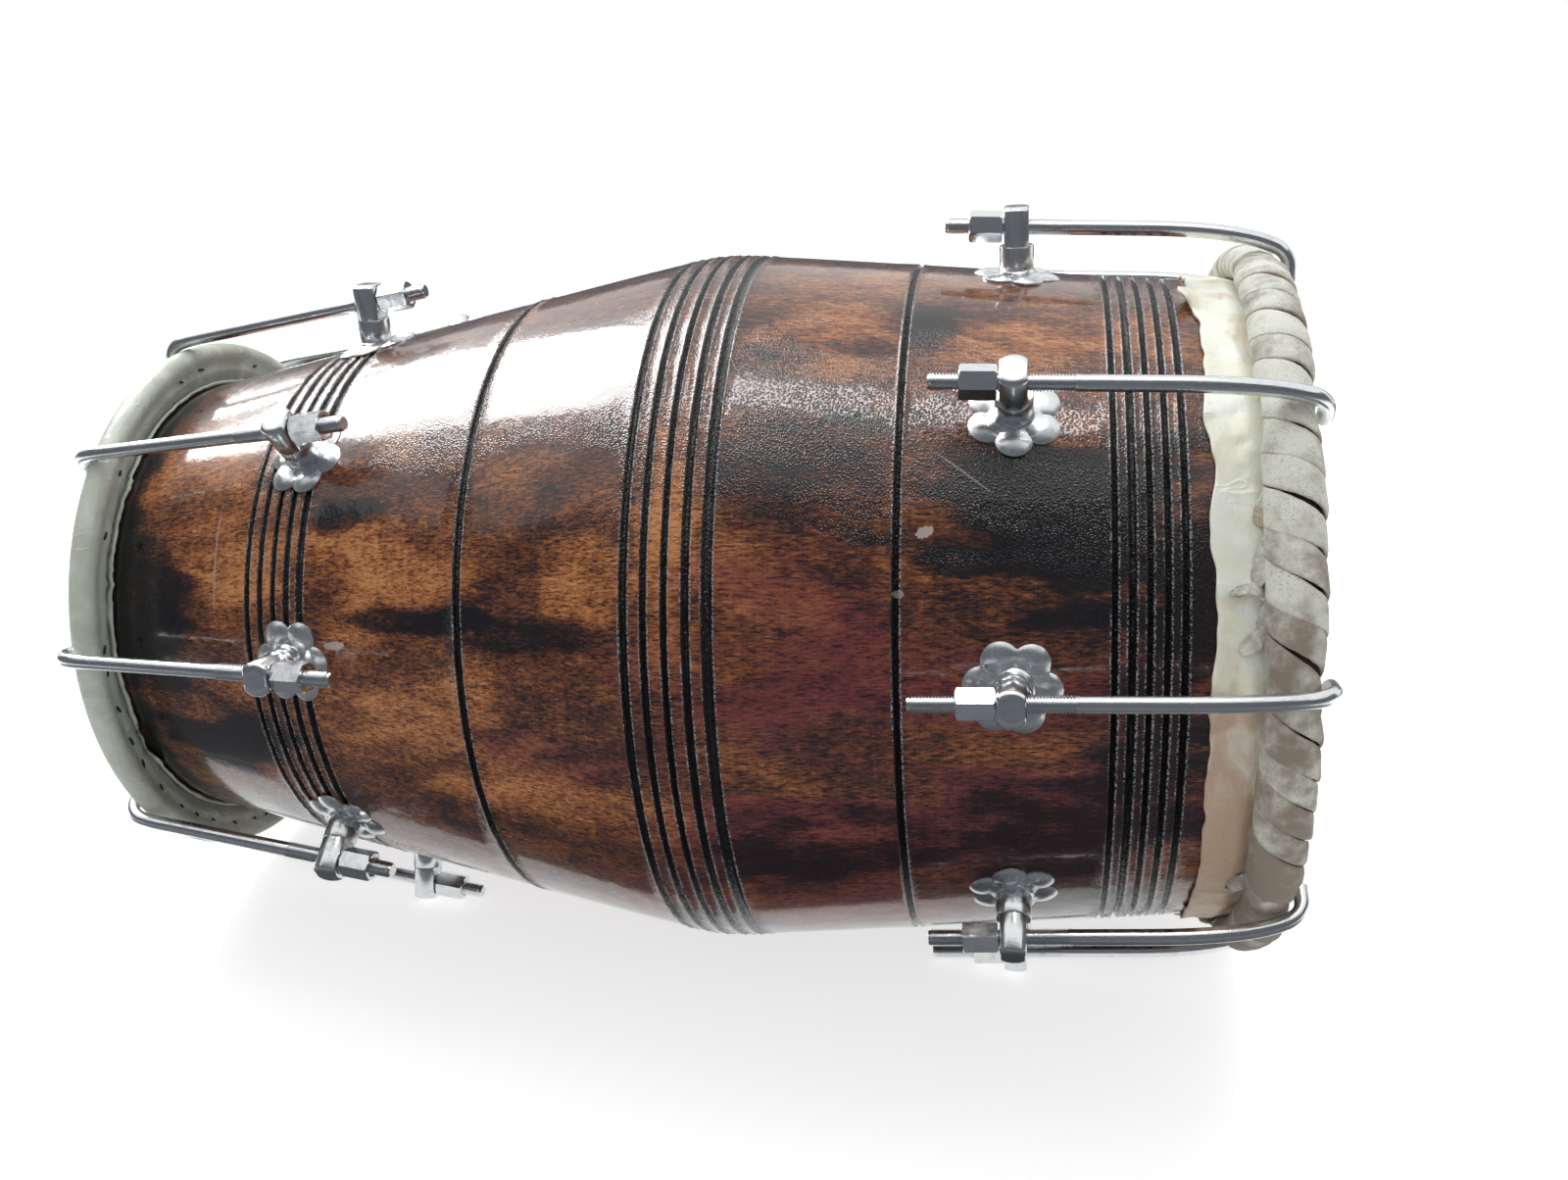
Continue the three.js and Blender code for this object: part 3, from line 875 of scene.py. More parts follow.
def hangSkirt(vert, tanAndDarkBelow, share, bent):
    # Lays the skirt on the shell with its folds, ragged edge, flap and the swell by the plait
    plan = bassHidePlan
    flap = plan["flap"]
    _, angle, radius = roundPlace(vert.co)
    aside = abs(angleGap(angle, math.radians(flap["angle"]))) * radius
    near = 1 - smooth(0.2, 1, aside / (flap["half"] * 2))
    torn = roundNoise(0, angle, radius, 26, 11) + 0.45 * roundNoise(0, angle, radius, 7, 12)
    edge = plan["skirtEdge"] + plan["ragged"] * torn - flap["reach"] * near
    x = bent + (edge - bent) * share
    fold = roundNoise(x, angle, radius, 8, 13, 1.4) + 0.6 * roundNoise(x, angle, radius, 3.5, 14, 2.2)
    shown = smooth(0.3, 0.6, share)
    lift = plan["wrinkle"] * shown * max(-0.12, fold)
    lift += flap["rise"] * near * smooth(0.55, 1, share) ** 2
    lift += plan["frill"] * smooth(0.9, 1, share) * (0.5 + roundNoise(x, angle, radius, 5, 15))
    swell = 0.7 + roundNoise(0, angle, radius, 24, 17)
    lift += plan["swell"] * swell * math.exp(-((x - plan["swellAt"]) / plan["swellHalf"]) ** 2)
    vert.co = onDrum(x, skinOver(x, plan, max(0, lift)), angle)
    # The skirt gets darker and browner towards the bottom.
    below = smooth(60, 125, math.degrees(abs(angle)))
    patch = smooth(0.35, 0.0, roundNoise(x, angle, radius, 12, 16) + 0.3)
    vert[tanAndDarkBelow] = plan["tan"] + plan["skirtDarkBelow"] * below * shown + plan["patchTan"] * patch


def makeBassHide():
    plan = bassHidePlan
    face = bass["length"] + drum["restGap"] + plan["thickness"]
    bent = face - plan["rimRound"]
    bm = bmesh.new()
    turn(bm, bassOutline(face), plan["steps"])
    tanAndDarkBelow = addLayers(bm, "tanAndDarkBelow")["tanAndDarkBelow"]
    for vert in bm.verts:
        share = (bent - vert.co.x) / (bent - plan["skirtEdge"])
        if share > 0:
            hangSkirt(vert, tanAndDarkBelow, share, bent)
        else:
            _, angle, radius = roundPlace(vert.co)
            uneven = roundNoise(0, angle, radius, 22, 4)
            vert[tanAndDarkBelow] = plan["tan"] + plan["faceTan"] * smooth(60, 118, radius)
            vert.co.x += 0.12 * uneven * smooth(118, 100, radius)
    faceOut(bm, bm.faces, Vector((0, 0, 0)))
    finishPiece("bassHide", bm, hide, "root", ["bass_hide"], 60, plan["thickness"])


def makePaste():
    # The round patch of tuning paste on the bass head's inner face
    inner = bass["length"] + drum["restGap"]
    bm = bmesh.new()
    turn(bm, [(inner - deep, radius) for deep, radius in pastePlan["profile"]], pastePlan["steps"])
    finishPiece("tuningPaste", bm, pasteSkin, "root")


makeBassHide()
makePaste()
print("bass hide made")


# Plait

plaitPlan = {
    "strips": 70,
    "alongCuts": 30,
    "acrossCuts": 7,
    "sweep": 138,
    "slantSide": 43,
    "slantTop": 20,
    "sink": 0.8,
    "crown": 0.55,
    "shingle": 0.32,
    "uneven": 0.35,
    "bulge": 1.3,
    "thickness": 1.2,
    "overlap": 1.04,
    "slit": 0.1,
    "slitShares": (0.08, 0.25, 0.6, 1.0, 1.3),
    "slitFrom": (-50, 10),
    # How far the strips differ: in pitches, degrees, tone and millimetres
    "turnRange": (-0.1, 0.1),
    "slantRange": (-3, 3),
    "toneRange": (-0.13, 0.13),
    "heightRange": (-0.15, 0.25),
    # Painted light: strips at the top are made lighter and those at the bottom darker
    "paintedTopLight": 0.22,
    "allTone": -0.02,
    # A dark ring under the strips, which is painted shade in the slits
    "shadeCoreLift": -1.15,
    "shadeCoreSides": 32,
    "shadeCoreSteps": 120,
    "seed": 41,
}


def sectionPoint(phi, lift):
    # phi is 0 at the plait's outermost place and 90 degrees at its front
    out = (bass["seatHalfWidth"] + lift) * math.sin(phi)
    high = (bass["seatHalfDepth"] + lift) * math.cos(phi)
    return bass["seatOut"] + out, bass["seatRadius"] + high


def hookDent(angle):
    # 0 under a hook, 1 between two
    step = 2 * math.pi / drum["lugCount"]
    away = abs((angle + step / 2) % step - step / 2) * bass["seatRadius"]
    return smooth(3.5, 16, away)


def addStrip(plait, index, layers):
    plan = plaitPlan
    rng = random.Random(plan["seed"] + index)
    pitch = 2 * math.pi * bass["seatRadius"] / plan["strips"]
    turnedTo = 2 * math.pi * (index + rng.uniform(*plan["turnRange"])) / plan["strips"]
    top = math.cos(turnedTo / 2) ** 2
    steep = plan["slantSide"] + (plan["slantTop"] - plan["slantSide"]) * top ** 2
    slant = math.radians(steep + rng.uniform(*plan["slantRange"]))
    opening = plan["slit"] * rng.choice(plan["slitShares"])
    openFrom = math.radians(rng.uniform(*plan["slitFrom"]))
    # Painted light: the tone is raised at the top of the ring and lowered at its bottom.
    tone = rng.uniform(*plan["toneRange"]) + plan["paintedTopLight"] * math.cos(turnedTo) + plan["allTone"]
    high = rng.uniform(*plan["heightRange"])
    verts = bmesh.ops.create_grid(plait, x_segments=plan["alongCuts"], y_segments=plan["acrossCuts"],
                                  size=1)["verts"]
    mean = (bass["seatHalfWidth"] + bass["seatHalfDepth"]) / 2
    for vert in verts:
        u = vert.co.x
        v = math.copysign(abs(vert.co.y) ** 0.55, vert.co.y)
        phi = math.radians(plan["sweep"]) * u
        gap = opening * smooth(openFrom, openFrom + 1.4, phi) * smooth(2.2, 1.5, phi)
        ragged = 0.06 * roundNoise(phi * 16, turnedTo + v, 60, 3, 19)
        flush = smooth(math.radians(15), math.radians(-50), phi)
        width = pitch / 2 * (plan["overlap"] - gap + ragged + 0.08 * flush)
        around = mean * phi * math.tan(slant) + v * width
        angle = turnedTo + around / bass["seatRadius"]
        lift = high * (1 - flush) - plan["sink"] + plan["crown"] * (1 - (1 - 0.75 * flush) * abs(v) ** 5)
        lift += plan["shingle"] * (1 - 0.6 * flush) * v * (1 - 0.5 * abs(v) ** 4)
        lift += plan["uneven"] * roundNoise(phi * 6, angle, bass["seatRadius"], 6, 20)
        dent = max(hookDent(angle), smooth(math.radians(-10), math.radians(-45), phi))
        lift = min(lift + plan["bulge"] * hookDent(angle), 0.15 + 2.2 * dent)
        out, height = sectionPoint(phi, lift)
        vert.co = onDrum(out, height, angle)
        vert[layers["edge"]] = abs(v) ** 14 * (0.4 + 0.6 * (v > 0))
        vert[layers["tone"]] = tone
    faceOut(plait, facesAt(verts), onDrum(bass["seatOut"], bass["seatRadius"], turnedTo))


looseEndPlan = {
    "alongCuts": 44,
    "acrossCuts": 10,
    "thickness": 0.8,
    "least": 2.3,  # the lowest height over the shell
    "roundFrom": 0.72,
    "crumple": 0.8,
    "crumpleSize": 1.8,
    "ribs": 0.16,
    "dish": 0.4,
    "rootTone": 0.22,
    "tipTone": 0.07,
}
# Loose strip ends that stand out of the plait over the skirt: each one's places as x, angle from the
# top and height over the shell, then its width, its twist from start to end, and its tan share
looseEnds = [
    ([(190.5, 52.2, 4.4), (188.0, 54.6, 4.2), (186.8, 57.2, 2.8)], 8.5, (0, 15), 0.95),
    ([(191.5, 57.4, 3.8), (187.6, 60.2, 4.6), (185.4, 63, 4.2), (183.4, 66, 3)], 6.2, (-20, 60), 0.15),
    ([(188.6, 66.9, 3.8), (184, 65.8, 4.6), (180.0, 65.9, 3.6), (176.2, 66.6, 2.4)], 4.8, (10, 70), 0.3),
    ([(191.5, 66.9, 3.8), (188, 68.6, 4.4), (186, 70.4, 3.8), (185.2, 72.4, 2.8)], 5.6, (0, 70), 0.1),
    ([(191, 70.9, 3.8), (187, 72.4, 4.4), (183.4, 73.4, 3.4), (179.4, 74.8, 2.4)], 6.0, (-10, 45), 0.3),
    ([(191, 116, 3.6), (186, 117.5, 4.0), (182, 120, 2.4)], 5.5, (0, 60), 0.4),
    ([(191, 150, 3.6), (185, 151, 4.2), (180, 149, 2.4)], 5, (0, -70), 0.3),
    ([(191, 204, 3.6), (186, 206, 4.0), (183, 209, 2.4)], 6, (0, 50), 0.5),
    ([(191, 262, 3.6), (184, 261, 4.2), (179, 263, 2.4)], 5, (0, 80), 0.2),
    ([(191, 318, 3.6), (187, 320, 4.0), (184, 322, 2.4)], 6, (0, -50), 0.6),
]


def alongPath(places, share):
    # A smooth way through a strip's places
    count = len(places) - 1
    piece = min(int(share * count), count - 1)
    t = share * count - piece
    near = [Vector(places[min(max(piece + i, 0), count)]) for i in (-1, 0, 1, 2)]
    before, start, end, after = near
    return 0.5 * (2 * start + (end - before) * t + (2 * before - 5 * start + 4 * end - after) * t ** 2
                  + (3 * start - before - 3 * end + after) * t ** 3)


def overShell(place):
    x, degrees, height = place
    return onDrum(x, shellRadius(x) + height, math.radians(degrees))


def stripPoint(places, u):
    return overShell(alongPath(places, min(1, max(0, u))))


def shapeLooseEnd(vert, layers, places, wide, twist, tan):
    # Bends a vertex of a flat strip along its way, and keeps it above the skirt
    plan = looseEndPlan
    u, v = (vert.co.x + 1) / 2, vert.co.y
    place = alongPath(places, u)
    middle = overShell(place)
    ahead = (stripPoint(places, u + 0.02) - stripPoint(places, u - 0.02)).normalized()
    up = onDrum(0, 1, math.radians(place.y))
    aside = ahead.cross(up).normalized()
    roll = Matrix.Rotation(math.radians(twist[0] + (twist[1] - twist[0]) * u), 3, ahead)
    past = max(0, (u - plan["roundFrom"]) / (1 - plan["roundFrom"]))
    rounded = math.sqrt(max(0.04, 1 - past ** 2))
    crumple = plan["crumple"] * noise.noise(middle / plan["crumpleSize"] + Vector((0, 0, 1.2 * v)))
    crumple += plan["ribs"] * math.sin(40 * u + 2.5 * v) * smooth(0.05, 0.3, u) * (1 - tan)
    placed = middle + roll @ (aside * v * wide / 2 * rounded + up * (crumple - plan["dish"] * v * v))
    lowest = shellRadius(placed.x) + plan["least"]
    radius = math.hypot(placed.y, placed.z)
    if radius < lowest:
        placed.y *= lowest / radius
        placed.z *= lowest / radius
    vert.co = placed
    vert[layers["edge"]] = tan * smooth(0.2, 0.7, u) + 0.2 * abs(v) ** 6
    vert[layers["tone"]] = plan["rootTone"] + (plan["tipTone"] - plan["rootTone"]) * u


def makeLooseEnds():
    plan = looseEndPlan
    bm = bmesh.new()
    layers = addLayers(bm, "edge", "tone")
    for places, wide, twist, tan in looseEnds:
        verts = bmesh.ops.create_grid(bm, x_segments=plan["alongCuts"], y_segments=plan["acrossCuts"],
                                      size=1)["verts"]
        for vert in verts:
            shapeLooseEnd(vert, layers, places, wide, twist, tan)
        faceOut(bm, facesAt(verts), Vector((180, 0, 0)))
    finishPiece("looseStripEnds", bm, rawhide, "root", (), 60, plan["thickness"])


def makePlait():
    plan = plaitPlan
    plait = bmesh.new()
    layers = addLayers(plait, "edge", "tone")
    for index in range(plan["strips"]):
        addStrip(plait, index, layers)
    finishPiece("plaitStrips", plait, rawhide, "root", ["bass_plait"], 55, plan["thickness"])
    # A dark ring under the strips, which is painted shade in the slits between them
    shadeCore = bmesh.new()
    sides = plan["shadeCoreSides"]
    turn(shadeCore, [sectionPoint(2 * math.pi * i / sides, plan["shadeCoreLift"]) for i in range(sides + 1)],
         plan["shadeCoreSteps"])
    finishPiece("plaitShadeCore", shadeCore, shadowed, "root")


makePlait()
makeLooseEnds()
print("plait made")


# Treble head

treblePlan = {
    "steps": 320,
    "thickness": 1.1,
    "faceRadii": [0, 12, 24, 36, 48, 60, 72, 82, 90, 97],
    "foldRows": 14,
    "foldFrom": -28,
    "foldTurn": 232,
    "creaseRadius": 102.2,
    "creaseOut": 230.6,
    "lipRadius": 93.4,
    "lipOut": 234.6,
    "lipCurl": 3.2,
    "puckerAtCrease": 0.35,
    "puckerAtLip": 0.5,
    "foldAt": 106,
    "foldHalf": 0.10,
    "foldRise": 1.6,
}
stitchPlan = {
    "count": 46,
    "hiddenShare": 0.6,
    "halfThickness": 0.55,
    "halfLengths": (1.3, 2.3),
    "seed": 17,
}


def trebleOutline(plan):
    # As (out, radius): the face, round the ring to the crease, down to the lip, and the lip's curl
    rest = drum["restGap"] + plan["thickness"]
    wide, deep = treble["seatHalfWidth"], treble["seatHalfDepth"]
    crease, creaseOut = plan["creaseRadius"], plan["creaseOut"]
    outline = [(treble["length"] + rest, radius) for radius in plan["faceRadii"]]
    for i in range(plan["foldRows"] + 1):
        part = math.radians(plan["foldFrom"] + plan["foldTurn"] * i / plan["foldRows"])
        out = treble["seatOut"] + wide * math.cos(part)
        outline.append((out, treble["seatRadius"] + deep * math.sin(part)))
    outline += [(creaseOut - 0.5, crease + 1.0), (creaseOut, crease)]
    for i in range(1, 8):
        share = i / 7
        out = creaseOut - 0.5 + (plan["lipOut"] - creaseOut + 0.5) * share
        radius = crease - 0.6 + (plan["lipRadius"] - crease + 0.6) * share
        outline.append((out - 0.9 * math.sin(math.pi * share), radius))
    for i in range(1, 4):
        out = plan["lipOut"] - plan["lipCurl"] * i / 3
        outline.append((out, shellRadius(-out) + rest + 0.25 * i))
    return outline


def makeTrebleHide():
    plan = treblePlan
    crease = plan["creaseRadius"]
    bm = bmesh.new()
    turn(bm, [(-out, radius) for out, radius in trebleOutline(plan)], plan["steps"])
    tanAndDarkBelow = addLayers(bm, "tanAndDarkBelow")["tanAndDarkBelow"]
    for vert in bm.verts:
        _, angle, radius = roundPlace(vert.co)
        # The treble hide gets darker and browner towards the bottom.
        vert[tanAndDarkBelow] = 0.02 + 0.3 * smooth(60, 120, math.degrees(abs(angle)))
        back = vert.co.x > -treble["seatOut"]
        if back and radius < crease + 2:
            inner = smooth(crease, plan["lipRadius"] + 1, radius)
            pucker = roundNoise(0, angle, 100, 6, 21) + 0.6 * roundNoise(0, angle, 100, 2.6, 22)
            depth = plan["puckerAtCrease"] + plan["puckerAtLip"] * inner
            vert.co.x += depth * pucker * smooth(crease + 2, crease - 1, radius)
        if back and radius < plan["lipRadius"] + 1.6:
            reach = -vert.co.x - plan["lipOut"]
            torn = 1 + 1.2 * roundNoise(0, angle, 100, 9, 23) + 0.5 * roundNoise(0, angle, 100, 3, 24)
            fold = math.exp(-(angleGap(angle, math.radians(plan["foldAt"])) / plan["foldHalf"]) ** 2)
            vert.co.x = -plan["lipOut"] - reach * max(0.15, torn + 1.3 * fold)
            lift = 0.3 * max(0, roundNoise(vert.co.x, angle, 100, 4, 25)) + plan["foldRise"] * fold
            vert.co = onDrum(vert.co.x, skinOver(vert.co.x, plan, lift), angle)
    faceOut(bm, bm.faces, Vector((0, 0, 0)))
    finishPiece("trebleHide", bm, trebleSkin, "root", ["treble_hide"], 60, plan["thickness"])


def makeStitches():
    plan = stitchPlan
    rng = random.Random(plan["seed"])
    bm = bmesh.new()
    for i in range(plan["count"]):
        angle = 2 * math.pi * (i + rng.uniform(-0.25, 0.25)) / plan["count"]
        if math.cos(angle) > 0.15 and rng.random() < plan["hiddenShare"]:
            continue
        made = bmesh.ops.create_icosphere(bm, subdivisions=2, radius=1)["verts"]
        long = rng.uniform(*plan["halfLengths"])
        thin = plan["halfThickness"]
        tilt = Matrix.Rotation(rng.uniform(-0.5, 0.5), 4, "X")
        middle = (thin - treblePlan["creaseOut"], 0, treblePlan["creaseRadius"] + rng.uniform(-0.5, 0.5))
        place = Matrix.Rotation(angle, 4, "X") @ Matrix.Translation(middle) @ tilt
        bmesh.ops.transform(bm, matrix=place @ Matrix.Diagonal((thin, long, thin, 1)), verts=made)
    finishPiece("trebleStitches", bm, blackThread, "root")


makeTrebleHide()
makeStitches()
print("treble hide made")


# Lugs

lugPlan = {
    "postRadius": 6.3,
    "postFlat": 4.5,
    "stepHeight": 11.3,
    "collarRadius": 7.1,
    "rosetteRadius": 16,
    "petals": 6,
    "petalRadius": 6.2,
    "petalRise": 1.7,
    "bossRadius": 9,
    "bossRise": 1.5,
    "rosetteFrom": 5.6,
    "rosetteSteps": 96,
    "rosetteRows": 11,
    "rosetteLift": 0.5,
    "grooveDepth": 0.35,
    "grooveHalf": 0.9,
    "edgeFall": 0.25,
    "sheet": 0.7,
    "holeRadius": 3.35,
    "stemRadius": 3,
    "stemPast": 2,
    "washerRadius": 8.4,
    "washerThickness": 1.6,
    "washerRound": 0.2,
    "backNutRadius": 5.8,
    "backNutHeight": 5,
    "backNutRound": 0.35,
}


def rodLine(head):
    # The rod's radius at its lug, its fall towards the head, and how far its axis stays off the head
    reach = hookPlan["rodRadius"] + hookPlan["seatGap"]
    rod = lugFoot(head) + drum["rodHeight"]
    over = head["seatRadius"] + head["seatHalfDepth"] + reach
    slope = (rod - over - head["rise"]) / (head["seatOut"] - head["lug"])
    return rod, slope, reach


def makePost(head):
    plan = lugPlan
    foot = lugFoot(head)
    step = foot + plan["stepHeight"]
    end = foot + drum["rodHeight"] + drum["postBeyondRod"]
    wide = plan["postRadius"]
    ring = plan["collarRadius"]
    outline = [
        (foot - 2.5, 0), (foot - 2.5, 5), (foot + 0.2, 5.2), (foot + 0.5, ring - 0.3), (foot + 1.1, ring),
        (foot + 1.8, ring - 0.1), (foot + 2.2, wide + 0.1), (foot + 2.6, wide - 0.1), (foot + 3.0, wide),
        (step - 0.5, wide), (step - 0.1, wide - 0.25), (step, wide - 0.4), (step + 0.02, wide),
        (end - 1.4, wide), (end - 0.8, wide - 0.35), (end - 0.3, wide - 1.0), (end, wide - 1.9),
        (end + 0.05, 3.4), (end, 2.9), (end + 0.06, 2.2), (end + 0.01, 1.7), (end + 0.07, 1.0),
        (end + 0.03, 0),
    ]
    bm = bmesh.new()
    turn(bm, outline, 56, "Z")
    for vert in bm.verts:
        if vert.co.z > step + 0.01:
            flat = plan["postFlat"] - max(0, 0.5 * (vert.co.z - end + 0.9))
            vert.co.x = max(-flat, min(flat, vert.co.x))
    rod, slope, _ = rodLine(head)
    drill = newCylinder(28, plan["holeRadius"], 40)
    aim = Matrix.Rotation(math.pi / 2 + math.atan(slope) * head["side"], 4, "Y")
    bmesh.ops.transform(drill, matrix=Matrix.Translation((0, 0, rod)) @ aim, verts=drill.verts)
    return booleanOf(bm, drill, "DIFFERENCE")


def makeBack(head):
    # Stem, washer and nut inside the shell
    plan = lugPlan
    seat = drum["bellyRadius"] - drum["bellyWall"] - boreSlope(head) * head["lug"]
    seat = seat * drum["flatShare"] - plan["washerRadius"] * boreSlope(head) - drum["restGap"]
    top = lugFoot(head) - 2
    lower = seat - plan["washerThickness"]
    end = lower - plan["backNutHeight"] - plan["stemPast"]
    thin = plan["stemRadius"]
    stem = bmesh.new()
    turn(stem, [(top, 0), (top, thin), (end + 0.5, thin), (end, thin - 0.6), (end, 0)], 20, "Z")
    wide = plan["washerRadius"]
    soft = plan["washerRound"]
    washer = bmesh.new()
    turn(washer, [(seat, 0), (seat, wide - soft), (seat - soft, wide), (lower + soft, wide),
                  (lower, wide - soft), (lower, 0)], 40, "Z")
    nut = newCylinder(6, plan["backNutRadius"], plan["backNutHeight"])
    bmesh.ops.bevel(nut, geom=nut.edges[:], offset=plan["backNutRound"], offset_type="OFFSET",
                    affect="EDGES", segments=2, profile=0.5, material=-1)
    bmesh.ops.translate(nut, vec=(0, 0, lower - plan["backNutHeight"] / 2 - 0.05), verts=nut.verts)
    return [stem, washer, nut]


def shapePetal(vert, turned, outermost):
    # Moves a vertex of the flat disc to its place on the petals
    plan = lugPlan
    start = plan["rosetteFrom"]
    petal = plan["petalRadius"]
    reach = plan["rosetteRadius"] - petal
    flat = math.hypot(vert.co.x, vert.co.y)
    angle = math.atan2(vert.co.y, vert.co.x) + math.radians(turned)
    half = math.pi / plan["petals"]
    offset = (angle + half) % (2 * half) - half
    side = reach * math.sin(offset)
    edge = reach * math.cos(offset) + math.sqrt(petal ** 2 - side ** 2)
    share = (flat - start) / (outermost - start)
    radius = start + (edge - start) * share
    away = math.hypot(radius * math.cos(offset) - reach, radius * math.sin(offset)) / petal
    dome = plan["petalRise"] * max(0, 1 - away ** 2)
    boss = plan["bossRise"] * (1 - smooth(plan["bossRadius"] - 2.6, plan["bossRadius"] + 0.6, radius))
    groove = plan["grooveDepth"] * math.exp(-((radius - plan["bossRadius"]) / plan["grooveHalf"]) ** 2)
    rim = plan["edgeFall"] * smooth(0.86, 1, share)
    vert.co.z = plan["rosetteLift"] + max(dome, boss) - groove - rim
    vert.co.x *= radius / flat
    vert.co.y *= radius / flat


def makeRosette(head, turned):
    plan = lugPlan
    start = plan["rosetteFrom"]
    outermost = start + plan["rosetteRows"] - 1
    bm = bmesh.new()
    ring = bmesh.ops.create_circle(bm, cap_ends=False, radius=start, segments=plan["rosetteSteps"])
    edges = edgesAt(ring["verts"])
    for row in range(1, plan["rosetteRows"]):
        verts, edges = growRing(bm, edges)
        wider = (start + row) / (start + row - 1)
        bmesh.ops.scale(bm, vec=(wider, wider, 1), verts=verts)
    for vert in bm.verts:
        shapePetal(vert, turned, outermost)
    under = bmesh.ops.extrude_face_region(bm, geom=bm.faces[:])["geom"]
    under = [item for item in under if isinstance(item, bmesh.types.BMVert)]
    bmesh.ops.translate(bm, vec=(0, 0, -plan["sheet"]), verts=under)
    tilt = Matrix.Rotation(-math.atan(shellSlope(head["side"] * head["lug"])), 4, "Y")
    bmesh.ops.transform(bm, matrix=Matrix.Translation((0, 0, lugFoot(head))) @ tilt, verts=bm.verts)
    return bm


def finishHardware(head, kind, i, bm, place, sharp):
    # Turns a lug, hook or nut to its station; a lug rides on root and the others on their own node.
    bm.transform(Matrix.Rotation(2 * math.pi * i / drum["lugCount"], 4, "X") @ place)
    node = f"{head['name']}_{kind.lower()}_{i + 1}"
    body = "root" if kind == "Lug" else node
    finishPiece(f"{head['name']}{kind}{i + 1}", bm, chrome, body, [node], sharp)


def makeLugs(head):
    post = makePost(head)
    back = makeBack(head)
    place = Matrix.Translation((head["side"] * head["lug"], 0, 0))
    for i in range(drum["lugCount"]):
        rosette = makeRosette(head, head["rosetteTurns"][i])
        lug = joined(post.copy(), rosette, *[part.copy() for part in back])
        sheet = addLayers(lug, "sheet")["sheet"]
        for vert in lug.verts:
            beyond = math.hypot(vert.co.x, vert.co.y) > lugPlan["collarRadius"] + 0.2
            vert[sheet] = 1 if beyond and vert.co.z > lugFoot(head) - 8 else 0
        finishHardware(head, "Lug", i, lug, place, 32)
    for part in (post, *back):
        part.free()


# Hooks and nuts

hookPlan = {
    "rodRadius": 2.75,
    "seatGap": 0.4,
    "seatSlope": 0.47,
    "flattened": 0.12,
    "tipLength": 0.6,
    "tipShare": 0.72,
    "sides": 16,
    "bendSteps": 10,
    "threadPastPost": 20,
    "crest": 3.0,
    "root": 2.42,
    "pitch": 1.0,
    "threadProfile": [(0, 0), (0.36, 1), (0.5, 1), (0.86, 0), (1, 0)],  # share of a pitch, 1 on the crest
    "threadSteps": 14,
    "threadTurns": 64,
    "threadChamfer": 1.6,
}
nutPlan = {
    "flats": 10,
    "length": 12,
    "chamfer": 0.55,
    "faceRadius": 5.05,
    "boreRadius": 3.12,
    "mouthRadius": 3.9,
    "mouthDepth": 0.7,
    "steps": 60,
}


def hookLine(head):
    # The rod's centre line past its thread, as (out, radius) points
    rod, slope, reach = rodLine(head)
    wide = head["seatHalfWidth"] + reach
    deep = head["seatHalfDepth"] + reach
    lug = head["lug"]
    fall = hookPlan["seatSlope"]
    steps = hookPlan["bendSteps"]
    entryTurn = math.atan(wide / deep * fall)

    def onRod(out):
        return Vector((out, rod - slope * (out - lug)))

    def onSeat(turned):
        out = head["seatOut"] + wide * math.sin(turned)
        return Vector((out, head["seatRadius"] + deep * math.cos(turned)))

    entry = onSeat(entryTurn)
    cornerOut = (entry.y + fall * entry.x - rod - slope * lug) / (fall - slope)
    knee = onRod(lug + (cornerOut - lug) * head["kneeShare"])
    corner = onRod(cornerOut)
    line = [onRod(lug + hookPlan["threadPastPost"] - 1)]
    for i in range(steps + 1):
        t = i / steps
        line.append(knee * (1 - t) ** 2 + corner * 2 * t * (1 - t) + entry * t ** 2)
    for i in range(1, steps + 1):
        line.append(onSeat(entryTurn + (math.pi / 2 - entryTurn) * i / steps))
    tip = Vector((head["seatOut"] + wide, head["seatRadius"] - head["tip"]))
    return line + [line[-1].lerp(tip, 0.5), tip]


def sweepRod(line, side):
    plan = hookPlan
    across = Vector((0, 1, 0))
    radius = plan["rodRadius"]
    points = [Vector((side * out, 0, high)) for out, high in line]
    count = len(points)
    placed = []
    for i, point in enumerate(points):
        ahead = (points[min(i + 1, count - 1)] - points[max(i - 1, 0)]).normalized()
        normal = ahead.cross(across)
        flatter = 1 - plan["flattened"] * math.exp(-((i - count + 7) / 4) ** 2)
        columns = (across * radius / flatter ** 0.5, normal * radius * flatter, ahead)
        placed.append(Matrix.Translation(point) @ Matrix(columns).transposed().to_4x4())
    share = plan["tipShare"]
    tip = Matrix.Translation((0, 0, plan["tipLength"])) @ Matrix.Diagonal((share, share, 1, 1))
    bm = bmesh.new()
    ring = bmesh.ops.create_circle(bm, cap_ends=True, radius=1, segments=plan["sides"], matrix=placed[0])
    edges = edgesAt(ring["verts"])
    for before, after in zip(placed, placed[1:] + [placed[-1] @ tip]):
        verts, edges = growRing(bm, edges)
        bmesh.ops.transform(bm, matrix=after @ before.inverted(), verts=verts)
    bmesh.ops.edgeloop_fill(bm, edges=edges)
    return bm


def longThread():
    # A real helical thread along +Z: one pitch of its profile, spun with a climb
    plan = hookPlan
    pitch, turns, steps = plan["pitch"], plan["threadTurns"], plan["threadSteps"]
    bm = bmesh.new()
    verts = []
    for along, high in plan["threadProfile"]:
        radius = plan["crest"] if high else plan["root"]
        verts.append(bm.verts.new((radius, 0, pitch * (along - 2))))
    edges = [bm.edges.new(pair) for pair in zip(verts, verts[1:])]
    bmesh.ops.spin(bm, geom=verts + edges, cent=(0, 0, 0), axis=(0, 0, 1), dvec=(0, 0, pitch / steps),
                   angle=2 * math.pi * turns, steps=turns * steps, use_merge=False, use_duplicate=False)
    bmesh.ops.remove_doubles(bm, verts=bm.verts, dist=1e-3)
    return bm


